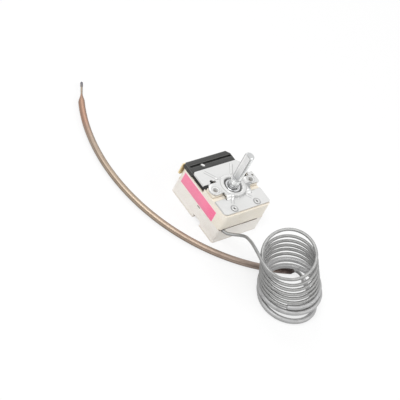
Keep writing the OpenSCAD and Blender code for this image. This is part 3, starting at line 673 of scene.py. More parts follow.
@dataclass
class Piece:
    """A mesh in the making, in millimetres."""

    name: str
    bm: bmesh.types.BMesh = field(default_factory=bmesh.new)

    def skin(self, near: Sequence[Any], far: Sequence[Any], way: int = 1) -> None:
        """Joins two rings of points with faces.

        Args:
            near: The first ring.
            far: The second ring, with as many points.
            way: 1, or -1 to turn the faces over.
        """
        for here in range(len(near)):
            after = (here + 1) % len(near)
            corners = list(dict.fromkeys((near[here], near[after], far[after], far[here])))
            if len(corners) > 2:
                self.bm.faces.new(corners[::way])

    def prism(self, outline: Sequence[Flat], low: float, high: float) -> "Piece":
        """Adds an upright solid.

        Args:
            outline: Its corners, counterclockwise.
            low: Lower level.
            high: Upper level.

        Returns:
            This piece.
        """
        floor, roof = ([self.bm.verts.new((x, y, level)) for x, y in outline] for level in (low, high))
        self.bm.faces.new(roof)
        self.bm.faces.new(floor[::-1])
        self.skin(floor, roof)
        return self

    def lathe(self, profile: Sequence[Flat], segments: int, centre: Flat = (0.0, 0.0)) -> "Piece":
        """Adds an upright turned solid.

        Args:
            profile: Radii and levels round the section, counterclockwise; radius 0 is on the axis.
            segments: Facets round the axis.
            centre: Where the axis stands.

        Returns:
            This piece.
        """
        rings = []
        for radius, level in profile:
            spots = circle(centre, radius, segments) if radius > 0 else [centre]
            ring = [self.bm.verts.new((x, y, level)) for x, y in spots]
            rings.append(ring * (segments // len(ring)))
        for near, far in zip(rings, rings[1:] + rings[:1]):
            self.skin(near, far)
        return self

    def _pipe(self, line: Line, sides: int, way: int = 1) -> list[list[bmesh.types.BMVert]]:
        """Adds a round skin along a line.

        Args:
            line: Its points, each with the radius there.
            sides: Facets round it.
            way: 1 for an outer skin, -1 for an inner one.

        Returns:
            Its rings of points.
        """
        rings = []
        for here, (point, radius) in enumerate(line):
            ahead = line[min(here + 1, len(line) - 1)][0] - line[max(here - 1, 0)][0]
            ahead.normalize()
            side = Vector((0, 0, 1)).cross(ahead).normalized()
            spokes = ((side, ahead.cross(side), 2 * math.pi * step / sides) for step in range(sides))
            ring = [point + (a * math.cos(angle) + b * math.sin(angle)) * radius for a, b, angle in spokes]
            rings.append([self.bm.verts.new(spot) for spot in ring])
        for near, far in zip(rings, rings[1:]):
            self.skin(near, far, way)
        return rings

    def sweep(self, line: Line, sides: int, bore: float = 0.0) -> "Piece":
        """Adds a round bar or tube.

        Args:
            line: Points of its centre line, each with the outer radius there.
            sides: Facets round it.
            bore: Radius of a bore from end to end, or 0.

        Returns:
            This piece.
        """
        outer = self._pipe(line, sides)
        if bore > 0:
            inner = self._pipe([(point, bore) for point, _ in line], sides, -1)
            self.skin(outer[0], inner[0], -1)
            self.skin(outer[-1], inner[-1])
        else:
            self.bm.faces.new(outer[0][::-1])
            self.bm.faces.new(outer[-1])
        return self

    def _trial(self) -> bpy.types.Object:
        """Puts the mesh in a passing object."""
        mesh = bpy.data.meshes.new("trial")
        self.bm.to_mesh(mesh)
        return link("trial", mesh)

    def carve(self, tool: "Piece", keep: Keep = Keep.OUTSIDE) -> "Piece":
        """Cuts this mesh by another.

        Args:
            tool: The cutting mesh, used up here.
            keep: Which part is left.

        Returns:
            This piece.
        """
        work, other = self._trial(), tool._trial()
        change = work.modifiers.new("carve", "BOOLEAN")
        change.operation = keep.value
        change.solver = "EXACT"
        change.object = other
        graph = bpy.context.evaluated_depsgraph_get()
        result = bpy.data.meshes.new_from_object(work.evaluated_get(graph))
        self.bm.clear()
        self.bm.from_mesh(result)
        tool.bm.free()
        for gone in (work.data, other.data, result):
            bpy.data.meshes.remove(gone)
        return self

    def publish(
        self,
        material: Material,
        slot: str,
        *nodes: str,
        body: str = "housing",
        bevel: float = 0.0,
        crease: float = 32.0,
    ) -> None:
        """Turns the mesh into a dressed piece on its body.

        Args:
            material: Its finish.
            slot: The record's material slot; not used.
            *nodes: CAD nodes it stands for.
            body: The CAD body it moves with.
            bevel: Width of the broken edges in millimetres.
            crease: Angle in degrees above which an edge stays sharp.
        """
        bmesh.ops.remove_doubles(self.bm, verts=self.bm.verts, dist=1e-4)
        bmesh.ops.recalc_face_normals(self.bm, faces=self.bm.faces)
        limit = math.radians(crease)
        if bevel > 0:
            sharp = [edge for edge in self.bm.edges if edge.is_manifold and edge.calc_face_angle(0.0) > limit]
            bmesh.ops.bevel(
                self.bm, geom=sharp, offset=bevel, segments=2, profile=0.6, affect="EDGES", clamp_overlap=True
            )
        for face in self.bm.faces:
            face.smooth = True
        for edge in self.bm.edges:
            edge.smooth = edge.is_manifold and edge.calc_face_angle(0.0) < limit
        self.bm.transform(Matrix.Scale(MM, 4))
        mesh = bpy.data.meshes.new(self.name)
        self.bm.to_mesh(mesh)
        self.bm.free()
        mesh.materials.append(material)
        made = link(self.name, mesh)
        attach(made, body)
        if nodes:
            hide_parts(*nodes)
        LOG.info("%s: %d faces on %s", self.name, len(mesh.polygons), body)


def dress(finish: Finish, *nodes: str) -> None:
    """Gives carried-over CAD nodes their finish.

    Args:
        finish: The finish.
        *nodes: The nodes' names.
    """
    for node in nodes:
        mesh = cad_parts[node].data
        mesh.materials.clear()
        mesh.materials.append(finish.material)
        LOG.info("%s: dressed as %s", node, finish.material.name)


def curve_point(points: Sequence[Track], here: int, share: float) -> Track:
    """A point on a smooth curve through given points.

    Args:
        points: The given points.
        here: The stretch's first point.
        share: How far along the stretch, 0 to 1.

    Returns:
        The point.
    """
    before, start = points[max(here - 1, 0)], points[here]
    end, after = points[here + 1], points[min(here + 2, len(points) - 1)]
    return 0.5 * (
        2 * start
        + (end - before) * share
        + (2 * before - 5 * start + 4 * end - after) * share**2
        + (3 * start - before - 3 * end + after) * share**3
    )


@dataclass
class Bracket:
    """The pressed steel bracket with its rivets and bush."""

    plate: float = 24.1
    bridge: float = 26.1
    sheet: float = 1.0
    half: float = 17.9
    front: float = 17.3
    rear: float = 17.2
    corner_r: float = 1.5
    left_corner_r: float = 2.5
    chamfer: float = 2.2
    waist: float = 9.6
    fold: float = 6.2
    relief: float = 0.4
    relief_end: float = 7.9
    notch: Flat = (10.6, 7.35)
    notch_r: float = 1.25
    ear: float = 18.8
    ear_front: float = -3.0
    ear_rear: float = 5.0
    ear_fillet: float = 3.3
    left_ear_r: float = 4.0
    ear_hole: Flat = (17.2, 2.4)
    ear_hole_r: float = 0.8
    land: float = 0.28
    land_r: float = 4.0
    hole_x: float = PressedSteel.hole_x
    hole_r: float = 1.65
    collar_room: float = 0.5
    thread_pitch: float = 0.45
    thread_depth: float = 0.13
    thread_turns: int = 4
    well_r: float = 6.7
    bush_r: float = 4.25
    rib_angle: float = PressedSteel.rib_angle
    rib_front: float = PressedSteel.rib_front
    rib_rear: float = PressedSteel.rib_rear
    rib_round: float = 0.55
    rivet: Flat = PressedSteel.rivet
    rivet_hole_r: float = 1.6
    lug_x: float = 7.0
    lug_half: float = 1.95
    lug_y: Flat = (15.45, 16.15)
    lug_z: Flat = (16.1, 23.7)
    blank: Flat = (19.2, 18.0)
    grid: float = 0.4
    cut_z: Flat = (20.0, 30.0)
    front_fold: Flat = (-7.7, -5.7)
    rear_fold: Flat = (8.0, 6.0)
    left_raised_y: Flat = (-4.4, 5.6)
    right_raised_y: Flat = (-5.95, 5.6)
    land_soft: float = 0.25
    gusset_x: Flat = (8.8, 11.6)
    gusset_y: Flat = (-2.2, -4.4)
    gusset_drop: float = 0.7
    well_wall: Flat = (5.35, 5.95)
    well_edge: float = 6.2
    lip_rise: float = 0.08
    lip_width: float = 0.5
    boss_wall: Flat = (8.0, 8.7)
    rib_start: float = 7.8
    rib_slope_end: float = 11.5
    rib_widest: float = 75.0
    rib_lift: float = 0.1
    rib_fade: float = 0.7
    facets: int = 40
    bush_facets: int = 72

    def build(self) -> None:
        """Builds every piece of the bracket."""
        self.pressing()
        self.collars()
        self.lugs()
        self.rivets()
        self.bush()
        dress(Finish.BRIGHT, "wave_washer")

    def outline(self) -> list[Flat]:
        """The sheet's outer edge, counterclockwise from the front left.

        Returns:
            Its corners and arcs.
        """
        half, front, rear, waist, fold = self.half, self.front, self.rear, self.waist, self.fold
        slit, slit_y, corner = waist + self.relief, -self.relief_end, self.corner_r
        left_corner, notch_x, notch_y = self.left_corner_r, *self.notch
        edge = arc((left_corner - half, left_corner - front), left_corner, 180, 270, 8)
        edge += arc((half - corner, corner - front), corner, 270, 360, 6)
        edge += [(half, -fold), (slit, -fold), (slit, slit_y), (waist, slit_y)]
        edge += arc((waist + self.ear_fillet, -6.3), self.ear_fillet, 172, 90, 8)
        edge += [(self.ear, self.ear_front), (self.ear, self.ear_rear), (15.2, self.ear_rear)]
        edge += [(14.2, 2.9), (waist, 2.9)]
        edge += arc((notch_x, notch_y), self.notch_r, 200, -20, 14)
        edge += [(12.9, fold), (half, fold), (half, rear - self.chamfer), (half - self.chamfer, rear)]
        edge += arc((corner - half, rear - corner), corner, 90, 180, 6)
        edge += [(-half, fold), (-12.9, fold)]
        edge += arc((-notch_x, notch_y), self.notch_r, 200, -20, 14)
        edge += [(-waist, 6.5), (-waist, self.ear_rear), (-15.6, self.ear_rear)]
        edge += arc((-self.hole_x, 0.3), self.left_ear_r, 135, 295, 12)
        edge += [(-waist, self.ear_front), (-waist, slit_y), (-slit, slit_y), (-slit, -fold), (-half, -fold)]
        return edge

    def level(self, x: float, y: float) -> float:
        """Height of the sheet's middle, with its bends, well and ribs.

        Args:
            x: Place across.
            y: Place back.

        Returns:
            The height.
        """
        if abs(x) < self.waist + self.relief / 2:
            raised = ease(*self.front_fold, y) * ease(*self.rear_fold, y)
        else:
            first, last = self.right_raised_y if x > 0 else self.left_raised_y
            raised = 1.0 if first < y < last else 0.0
        rise = self.bridge - self.plate
        height = self.plate + rise * raised
        if raised == 1.0:
            beside = math.hypot(abs(x) - self.hole_x, y)
            height += self.land * ease(self.land_r + self.land_soft, self.land_r - self.land_soft, beside)
            height -= self.gusset_drop * ease(*self.gusset_x, x) * ease(*self.gusset_y, y)
        out = math.hypot(x, y)
        lip = self.bridge + self.lip_rise * math.exp(-(((out - self.well_r) / self.lip_width) ** 2))
        floor = self.plate + (lip - self.plate) * ease(*self.well_wall, out)
        outside = max(height, lip - (lip - height) * ease(*self.boss_wall, out))
        height = floor if out < self.well_edge else outside
        turn = math.degrees(math.atan2(abs(x), abs(y)))
        if out > self.rib_start and turn < self.rib_widest:
            off_rib = math.radians(turn - self.rib_angle)
            aside, forward = out * math.sin(off_rib), out * math.cos(off_rib)
            reach = self.rib_rear if y > 0 else self.rib_front
            run = self.bridge + self.rib_lift - rise * ease(self.rib_start, self.rib_slope_end, forward)
            fade = ease(reach + self.rib_fade, reach - self.rib_fade, forward)
            round_top = math.exp(-((aside / self.rib_round) ** 4))
            height = max(height, height + (run - height) * round_top * fade)
        return height

    def blank_sheet(self) -> Piece:
        """Lays a net of points on each side of the sheet and joins the two.

        Returns:
            The pressed sheet before it is cut.
        """
        counts = (round(2 * reach / self.grid) + 1 for reach in self.blank)
        across, back = (
            [step * self.grid - reach for step in range(count)] for count, reach in zip(counts, self.blank)
        )
        for side in (-1, 1):
            across += [side * (self.waist + share * self.relief) for share in (0.25, 0.75)]
        across.sort()
        piece = Piece("bracket_sheet")
        rims = []
        for way in (1, -1):
            lift = way * self.sheet / 2
            net = [[piece.bm.verts.new((x, y, self.level(x, y) + lift)) for x in across] for y in back]
            for near, far in zip(net, net[1:]):
                for here in range(len(across) - 1):
                    corners = (near[here], near[here + 1], far[here + 1], far[here])
                    piece.bm.faces.new(corners if way > 0 else corners[:1] + corners[:0:-1])
            rim = net[0][:-1] + [row[-1] for row in net[:-1]]
            rims.append(rim + net[-1][:0:-1] + [row[0] for row in net[:0:-1]])
        top, under = rims
        piece.skin(under, top)
        return piece

    def pressing(self) -> None:
        """Presses the sheet and cuts it to its outline."""
        piece = self.blank_sheet()
        piece.carve(Piece("plan").prism(self.outline(), *self.cut_z), Keep.INSIDE)
        spots = [(centre, self.hole_r + self.collar_room) for centre in twins(self.hole_x, 0.0)]
        spots += [(centre, self.rivet_hole_r) for centre in twins(*self.rivet)]
        spots += [((0.0, 0.0), self.bush_r), (self.ear_hole, self.ear_hole_r)]
        holes = Piece("holes")
        for centre, radius in spots:
            holes.prism(circle(centre, radius, self.facets), *self.cut_z)
        piece.carve(holes)
        piece.publish(Finish.ZINC.material, "zinc_steel", "mounting_bracket", crease=40.0)

    def collars(self) -> None:
        """Turns the two threaded collars."""
        profile = [(self.hole_r, 24.45), (2.3, 24.4), (2.6, 24.6), (2.65, 26.0), (2.6, 26.6), (2.2, 26.88)]
        profile += [(2.0, 26.89), (1.75, 26.75), (self.hole_r, 26.5)]
        for turn in range(self.thread_turns):
            level = 26.3 - turn * self.thread_pitch
            groove = (self.hole_r + self.thread_depth, level - 0.18)
            profile += [(self.hole_r, level), groove, (self.hole_r, level - 0.35)]
        piece = Piece("bracket_collars")
        for centre in twins(self.hole_x, 0.0):
            piece.lathe(profile, self.facets, centre)
        piece.publish(Finish.THREAD.material, "zinc_steel", crease=50.0)

    def lugs(self) -> None:
        """Builds the two lugs that reach down into the housing."""
        piece = Piece("bracket_lugs")
        for x in (-self.lug_x, self.lug_x):
            plan = rectangle(x - self.lug_half, self.lug_y[0], x + self.lug_half, self.lug_y[1])
            piece.prism(plan, *self.lug_z)
        piece.publish(Finish.ZINC.material, "zinc_steel", bevel=0.12)

    def rivets(self) -> None:
        """Turns the two tubular rivets with rolled heads."""
        top = self.plate + self.sheet / 2
        profile = [(0.7, 0.55), (1.0, 0.5), (2.0, 0.5), (2.18, 0.7), (2.18, 1.25), (1.5, 1.28)]
        head = [(1.5, 0.0), (1.95, 0.0), (1.95, 0.22), (1.8, 0.42), (1.5, 0.54), (1.15, 0.56)]
        head += [(0.8, 0.42), (0.58, 0.2), (0.52, -0.2)]
        profile += [(radius, top + above) for radius, above in head]
        piece = Piece("rivet_heads")
        for centre in twins(*self.rivet):
            piece.lathe(profile, self.facets, centre)
        piece.publish(Finish.RIVET.material, "bright_steel", "housing_rivets")

    def bush(self) -> None:
        """Turns the bush in the well."""
        base = self.plate + self.sheet / 2
        section = [(3.05, -1.85), (4.2, -1.85), (4.2, 0.0), (5.0, 0.0), (5.1, 0.12), (5.1, 0.3), (4.8, 0.45)]
        section += [(4.78, 1.15), (4.68, 1.35), (4.5, 1.48), (3.75, 1.48), (3.6, 1.2), (3.45, 1.12)]
        section += [(3.2, 1.1), (3.05, 0.95)]
        profile = [(radius, base + above) for radius, above in section]
        piece = Piece("bush").lathe(profile, self.bush_facets)
        piece.publish(Finish.BRIGHT.material, "bright_steel", "hub_bush", crease=28.0)


@dataclass
class ControlShaft:
    """The D-shaped spindle with the cam on its hub."""

    radius: float = 3.0
    top: float = 53.1
    flat_z: float = 33.1
    flat_x: float = -1.6
    bore_r: float = 1.8
    bore_top: float = 20.5
    hub_r: float = 4.0
    hub_z: float = 14.5
    flange_r: float = 5.5
    flange_z: float = 20.9
    flange_t: float = 1.2
    groove_z: float = 26.8
    groove_w: float = 0.6
    groove_d: float = 0.25
    hub_edge: float = 0.2
    flange_edge: float = 0.15
    cut_reach: float = 6.0
    facets: int = 72

    def section(self) -> list[Flat]:
        """The spindle's section from the bore's end on the axis round to its tip.

        Returns:
            Radii and levels.
        """
        radius, top, flange_r, edge = self.radius, self.top, self.flange_r, self.flange_edge
        flange_top, waist = self.flange_z + self.flange_t, radius - self.groove_d
        profile = [(0.0, self.bore_top), (self.bore_r, self.bore_top), (self.bore_r, self.hub_z)]
        profile += [(self.hub_r - self.hub_edge, self.hub_z), (self.hub_r, self.hub_z + self.hub_edge)]
        profile += [(self.hub_r, self.flange_z), (flange_r - edge, self.flange_z)]
        profile += [(flange_r, self.flange_z + edge), (flange_r, flange_top - edge)]
        profile += [(flange_r - edge, flange_top), (radius, flange_top)]
        for low in (self.groove_z, self.flat_z - self.groove_w):
            high = low + self.groove_w
            profile += [(radius, low), (waist, low), (waist, high), (radius, high)]
        profile += [(radius, top - 1.0), (radius - 0.12, top - 0.72), (radius - 0.7, top - 0.12)]
        return profile + [(radius - 0.95, top), (0.0, top)]

    def build(self) -> None:
        """Builds the spindle and dresses the cam."""
        piece = Piece("spindle_bar").lathe(self.section(), self.facets)
        plan = rectangle(-self.cut_reach, -self.cut_reach, self.flat_x, self.cut_reach)
        piece.carve(Piece("flat").prism(plan, self.flat_z, self.top + 2))
        tones = (srgb(236, 237, 237), srgb(120, 120, 122), srgb(252, 252, 252))
        steel = TurnedShaft("turned steel", *tones, self.flat_x, self.flat_z, self.top).material()
        piece.publish(steel, "bright_steel", "spindle", body="shaft", crease=24.0)
        dress(Finish.BROWN, "control_cam")


@dataclass
class Housing:
    """The two mouldings, the side label and the switch cover."""

    bar_low: float = 20.6
    bar_top: float = 23.6
    bar_front: float = 16.8
    lug: Plan = (-15.6, 17.5, 15.6, 23.3)
    lug_low: float = 19.9
    corner_foot: Plan = (-17.6, 3.9, -14.4, 6.1)
    feet: tuple[Plan, Plan] = ((-12.8, 5.4, -9.0, 9.2), (9.0, 4.0, 16.2, 7.6))
    feet_low: float = 23.3
    groove: Plan = (-16.4, 21.15, 16.2, 22.7)
    groove_z: float = 21.9
    pin: Flat = (-7.4, 20.6)
    pin_turn: float = -46.0
    pin_head: Flat = (1.35, 0.72)
    pin_hole: Flat = (1.5, 0.9)
    label_corner: float = 0.5
    label_gap: float = 0.015

    def build(self) -> None:
        """Dresses the mouldings and builds the cover and the label."""
        dress(Finish.BASE, "base_housing")
        dress(Finish.UPPER, "upper_housing")
        self.cover()
        self.cover_pin()
        self.label()

    def cover(self) -> None:
        """Moulds the black cover with its groove, arm and feet."""
        front, top = self.bar_front, self.bar_top
        bar = [(-17.3, 4.6), (-10.2, 4.6), (-10.2, front), (16.7, front), (16.7, 23.3), (14.6, 25.9)]
        bar += [(-16.9, 25.9), (-17.9, 24.9), (-17.9, front), (-17.3, front)]
        piece = Piece("cover_bar").prism(bar, self.bar_low, top)
        piece.carve(Piece("groove").prism(rectangle(*self.groove), self.groove_z, top + 1))
        piece.carve(Piece("pin_hole").prism(self.oval(*self.pin_hole), 21.0, top + 1))
        piece.publish(Finish.BLACK.material, "black_plastic", "switch_cover", bevel=0.3)
        lug = Piece("cover_lug").prism(rectangle(*self.lug), self.lug_low, self.bar_low)
        lug.publish(Finish.BLACK.material, "black_plastic", bevel=0.15)
        feet = Piece("cover_feet").prism(rectangle(*self.corner_foot), self.feet_low, 24.2)
        for plan in self.feet:
            feet.prism(rectangle(*plan), self.feet_low, top + 0.02)
        feet.publish(Finish.BLACK.material, "black_plastic", bevel=0.04)

    def cover_pin(self) -> None:
        """Sets the bright pin in the cover."""
        piece = Piece("cover_pin_head").prism(self.oval(*self.pin_head), 21.05, self.bar_top + 0.45)
        piece.publish(Finish.THREAD.material, "bright_steel", "cover_pin", bevel=0.2)

    def oval(self, long: float, short: float) -> list[Flat]:
        """The outline of the pin's oval head, set slantwise in the bar.

        Args:
            long: Half its length.
            short: Half its width.

        Returns:
            Its points.
        """
        turn = Matrix.Rotation(math.radians(self.pin_turn), 2)
        rim = (turn @ Vector((long * x, short * y)) for x, y in circle((0.0, 0.0), 1.0, 28))
        return [(point.x + self.pin[0], point.y + self.pin[1]) for point in rim]

    def label(self) -> None:
        """Cuts the side label with small round corners."""
        low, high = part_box("side_label")
        y0, y1, z0, z1 = (value / MM for value in (low.y, high.y, low.z, high.z))
        corner = self.label_corner
        west, east, south, north = y0 + corner, y1 - corner, z0 + corner, z1 - corner
        edge = []
        for number, centre in enumerate(((west, south), (east, south), (east, north), (west, north))):
            edge += arc(centre, corner, 180 + 90 * number, 270 + 90 * number, 4)
        piece = Piece("label_sheet").prism(edge, low.x / MM + self.label_gap, high.x / MM)
        piece.bm.transform(Matrix(((0, 0, 1, 0), (1, 0, 0, 0), (0, 1, 0, 0), (0, 0, 0, 1))))
        tones = (srgb(247, 132, 166), srgb(246, 100, 148), srgb(250, 232, 232))
        paper = PinkPaper("pink paper", *tones, (y0, z0), (y1, z1)).material()
        piece.publish(paper, "pink_paper", "side_label", bevel=0.03)


@dataclass
class MainSwitch:
    """The snap switch in the base with its tabs."""

    contacts: tuple[str, ...] = ("moving_contact", "fixed_contact")
    brasses: tuple[str, ...] = ("fixed_terminal", "moving_terminal", "calibration_screw")

    def build(self) -> None:
        """Dresses the switch's pieces."""
        dress(Finish.CERAMIC, "push_pin")
        dress(Finish.BROWN, "pin_guide")
        dress(Finish.BRONZE, "snap_blade")
        dress(Finish.SILVER, *self.contacts)
        dress(Finish.BRASS, *self.brasses)


@dataclass
class AuxiliarySwitch:
    """The switch in the rear pocket with its folded tabs."""

    contacts: tuple[str, ...] = ("auxiliary_moving_contact", "auxiliary_fixed_contact")
    brasses: tuple[str, ...] = ("auxiliary_terminal_left", "auxiliary_terminal_right")

    def build(self) -> None:
        """Dresses the switch's pieces."""
        dress(Finish.CERAMIC, "switch_plunger")
        dress(Finish.BRONZE, "auxiliary_leaf")
        dress(Finish.SILVER, *self.contacts)
        dress(Finish.BRASS, *self.brasses)


@dataclass
class ThermalSystem:
    """Capsule, capillary with its coil and sleeve, bulb and stem."""

    tube_r: float = 0.95
    sleeve_r: float = 1.6
    sleeve_bore: float = 1.1
    sleeve_lip: float = 0.2
    turns: float = 7.75
    sleeve_turns: float = 1.79
    coil_top: Point = (-4.6, -58.4, 34.2)
    coil_low: Point = (3.2, -68.5, 5.6)
    coil_r: Flat = (15.8, 18.2)
    tilt_top: Flat = (-0.46, -0.28)
    tilt_low: Flat = (-0.2, 0.04)
    levels: tuple[float, ...] = (0, 0.16, 0.28, 0.4, 0.5, 0.61, 0.73, 0.88, 1.04, 1.2)
    lean_levels: tuple[float, ...] = (0, 0.4, 0.54, 0.65, 0.73, 0.8, 0.88, 1.02, 1.16, 1.3)
    first_angle: float = 244.0
    per_turn: int = 72
    per_stretch: int = 8
    joint: float = 1 / 24
    bend_centre: Flat = (61.2, 48.0)
    bend_r: float = 111.3
    bend_end: float = 246.7
    bend_angle: float = 95.5
    bend_steps: int = 150
    bulb_r: float = 2.0
    bulb_z: float = 2.06
    tip_turn: float = 4.5
    neck: tuple[Flat, ...] = ((2.2, 1.12), (1.9, 1.2), (1.4, 1.42), (0.9, 1.72), (0.4, 1.95))
    taper: tuple[Flat, ...] = (
        (0.4, 2.0), (1.2, 1.93), (2.4, 1.68), (3.6, 1.36), (4.8, 1.06), (5.8, 0.84), (6.6, 0.7), (7.0, 0.62),
    )
    wire: tuple[Flat, ...] = ((7.0, 0.64), (7.4, 0.62), (8.5, 0.6), (10.0, 0.64), (12.0, 0.61), (13.4, 0.64))
    bead: tuple[Flat, ...] = (
        (13.8, 0.7), (14.2, 0.8), (14.8, 0.84), (15.8, 0.82), (16.8, 0.84), (17.2, 0.8), (17.6, 0.66),
        (17.9, 0.4), (18.03, 0.12),
    )
    crease: float = 60.0
    tube_sides: int = 14
    sleeve_sides: int = 18
    bulb_sides: int = 24
    stem_sides: int = 16

    @property
    def bend_start(self) -> float:
        """The bend's angle at the bulb's outer end."""
        return self.bend_end - self.bend_angle

    def build(self) -> None:
        """Builds the tube, sleeve, bulb and stem and dresses the capsule."""
        self.tube()
        self.bulb()
        self.stem()
        dress(Finish.BRASS, "adjusting_stud")
        dress(Finish.PRESSED, "capsule_cup", "capsule_membrane")

    def coil_point(self, turn: float) -> Vector:
        """A point of the coil.

        Args:
            turn: Turns after its start.

        Returns:
            The point.
        """
        whole = math.floor(turn)
        share = curve_point(self.levels, whole, turn - whole)
        leaning = curve_point(self.lean_levels, whole, turn - whole)
        centre = Vector(self.coil_top).lerp(Vector(self.coil_low), share)
        radius = self.coil_r[0] * (1 - share) + self.coil_r[1] * share
        lean = [a * (1 - leaning) + b * leaning for a, b in zip(self.tilt_top, self.tilt_low)]
        normal = Vector((*lean, 1.0)).normalized()
        east = (Vector((1, 0, 0)) - normal * normal.x).normalized()
        angle = math.radians(self.first_angle + 360 * turn)
        return centre + radius * (math.cos(angle) * east + math.sin(angle) * normal.cross(east))

    def route(self) -> tuple[list[Vector], int, int]:
        """The capillary's centre line from the capsule to the bulb.

        Returns:
            The points, and the first and last of them that the sleeve covers.
        """
        lead = [(-11.5, 0, 11.6), (-12.3, -0.02, 11.6), (-13.7, -1.2, 11.4), (-14.6, -3.4, 11.1)]
        lead += [(-14.6, -8, 11), (-14.6, -13, 11), (-14.6, -18.6, 11), (-13.4, -21.6, 11.3)]
        lead += [(-11, -24.4, 12.6), (-9.2, -27.2, 14.6), (-8.8, -30.9, 17.4), (-11.4, -36.8, 21.2)]
        lead += [(-15.4, -43, 25.2)]
        lead += [(-19, -49.6, 28.2), (-21.6, -56.2, 29.8), (-21.2, -62.6, 29.6), (-17.4, -68, 28.4)]
        tail = [(-15.2, -66.4, 2.1), (-15, -72.6, 1.8), (-12.4, -78.8, 1.8), (-7.4, -83.6, 1.8)]
        tail += [(-0.8, -86.2, 1.8), (6, -86.2, 1.8), (12.6, -83.6, 1.8), (17.2, -78.6, 1.8)]
        tail += [(19.4, -72.8, 1.8), (20.6, -67, 1.8), (21.7, -62, 1.8), (22.2, -58.6, 1.9)]
        last = math.floor(self.turns / self.joint) * self.joint
        count = round(last * self.per_turn)
        coil = [self.coil_point(step / self.per_turn) for step in range(count + 1)]
        neck = self.near_end(self.neck[0][0])
        before = [Vector(point) for point in lead] + [self.coil_point(0), self.coil_point(self.joint)]
        after = [self.coil_point(last - 2 * self.joint), coil[-1]] + [Vector(point) for point in tail]
        after += [self.near_end(self.neck[0][0] + 2), neck]
        shares = [step / self.per_stretch for step in range(self.per_stretch)]
        start = [curve_point(before, here, share) for here in range(len(before) - 2) for share in shares]
        close = [curve_point(after, here, share) for here in range(1, len(after) - 1) for share in shares]
        first = len(start) + round((self.turns - self.sleeve_turns) * self.per_turn)
        final = len(start) + count + (len(tail) - 1) * self.per_stretch
        return start + coil[:-1] + close + [neck], first, final

    def beyond(self, angle: float, heading: float, reach: float) -> Vector:
        """A point on a straight line that leaves the bulb's bend.

        Args:
            angle: Where on the bend the line starts, in degrees.
            heading: Which way it goes, in degrees.
            reach: How far the point is from its start.

        Returns:
            The point.
        """
        start, way = math.radians(angle), math.radians(heading)
        x = self.bend_centre[0] + self.bend_r * math.cos(start) + reach * math.cos(way)
        y = self.bend_centre[1] + self.bend_r * math.sin(start) + reach * math.sin(way)
        return Vector((x, y, self.bulb_z))

    def near_end(self, reach: float) -> Vector:
        """A point past the bulb's end at the coil."""
        return self.beyond(self.bend_end, self.bend_end + 90, reach)

    def far_end(self, reach: float) -> Vector:
        """A point past the place where the bulb's outer end starts to taper."""
        return self.beyond(self.bend_start, self.bend_start - 90 - self.tip_turn, reach)

    def tube(self) -> None:
        """Draws the capillary and its sleeve."""
        path, first, final = self.route()
        piece = Piece("capillary_line").sweep([(point, self.tube_r) for point in path], self.tube_sides)
        piece.publish(Finish.TUBE.material, "tube_copper", "capillary_tube", crease=self.crease)
        cover = []
        for number in range(first, final + 1):
            from_end = min(number - first, final - number)
            cover.append((path[number], self.sleeve_r - self.sleeve_lip * (1 - min(1.0, from_end / 2))))
        piece = Piece("sleeve_line").sweep(cover, self.sleeve_sides, self.sleeve_bore)
        piece.publish(Finish.SLEEVE.material, "sleeve_steel", "capillary_sleeve", crease=self.crease)

    def patina(self, name: str, start: float, end: float, *stops: tuple[float, Colour]) -> Material:
        """A browned finish whose tones go from one angle of the bulb's bend to another."""
        return BulbPatina(name, self.bend_centre, self.bend_r, self.bulb_z, start, end, stops).material()

    def bulb(self) -> None:
        """Draws the bent bulb with its swaged ends."""
        bend = arc(self.bend_centre, self.bend_r, self.bend_end, self.bend_start, self.bend_steps)
        line = [(self.near_end(reach), radius) for reach, radius in self.neck]
        line += [(Vector((x, y, self.bulb_z)), self.bulb_r) for x, y in bend]
        line += [(self.far_end(reach), radius) for reach, radius in self.taper]
        browned = self.patina(
            "browned copper",
            self.bend_start - 4,
            self.bend_end + 1,
            (0.0, srgb(162, 130, 110)),
            (0.12, srgb(166, 132, 114)),
            (0.2, srgb(163, 147, 132)),
            (0.42, srgb(161, 145, 127)),
            (0.7, srgb(159, 141, 126)),
            (0.93, srgb(154, 139, 131)),
            (0.965, srgb(70, 55, 52)),
            (1.0, srgb(30, 24, 24)),
        )
        piece = Piece("bulb_body").sweep(line, self.bulb_sides)
        piece.publish(browned, "bulb_copper", "sensing_bulb", crease=self.crease)

    def stem(self) -> None:
        """Draws the filling stem and its sealed bead."""
        line = [(self.far_end(reach), radius) for reach, radius in self.wire + self.bead]
        turn = math.degrees(1 / self.bend_r)
        metal = self.patina(
            "stem metal",
            self.bend_start - 18 * turn,
            self.bend_start - 7 * turn,
            (0.0, srgb(96, 98, 108)),
            (0.4, srgb(112, 112, 118)),
            (0.5, srgb(160, 146, 130)),
        )
        piece = Piece("stem_wire").sweep(line, self.stem_sides)
        piece.publish(metal, "stem_steel", "bulb_stem", crease=self.crease)


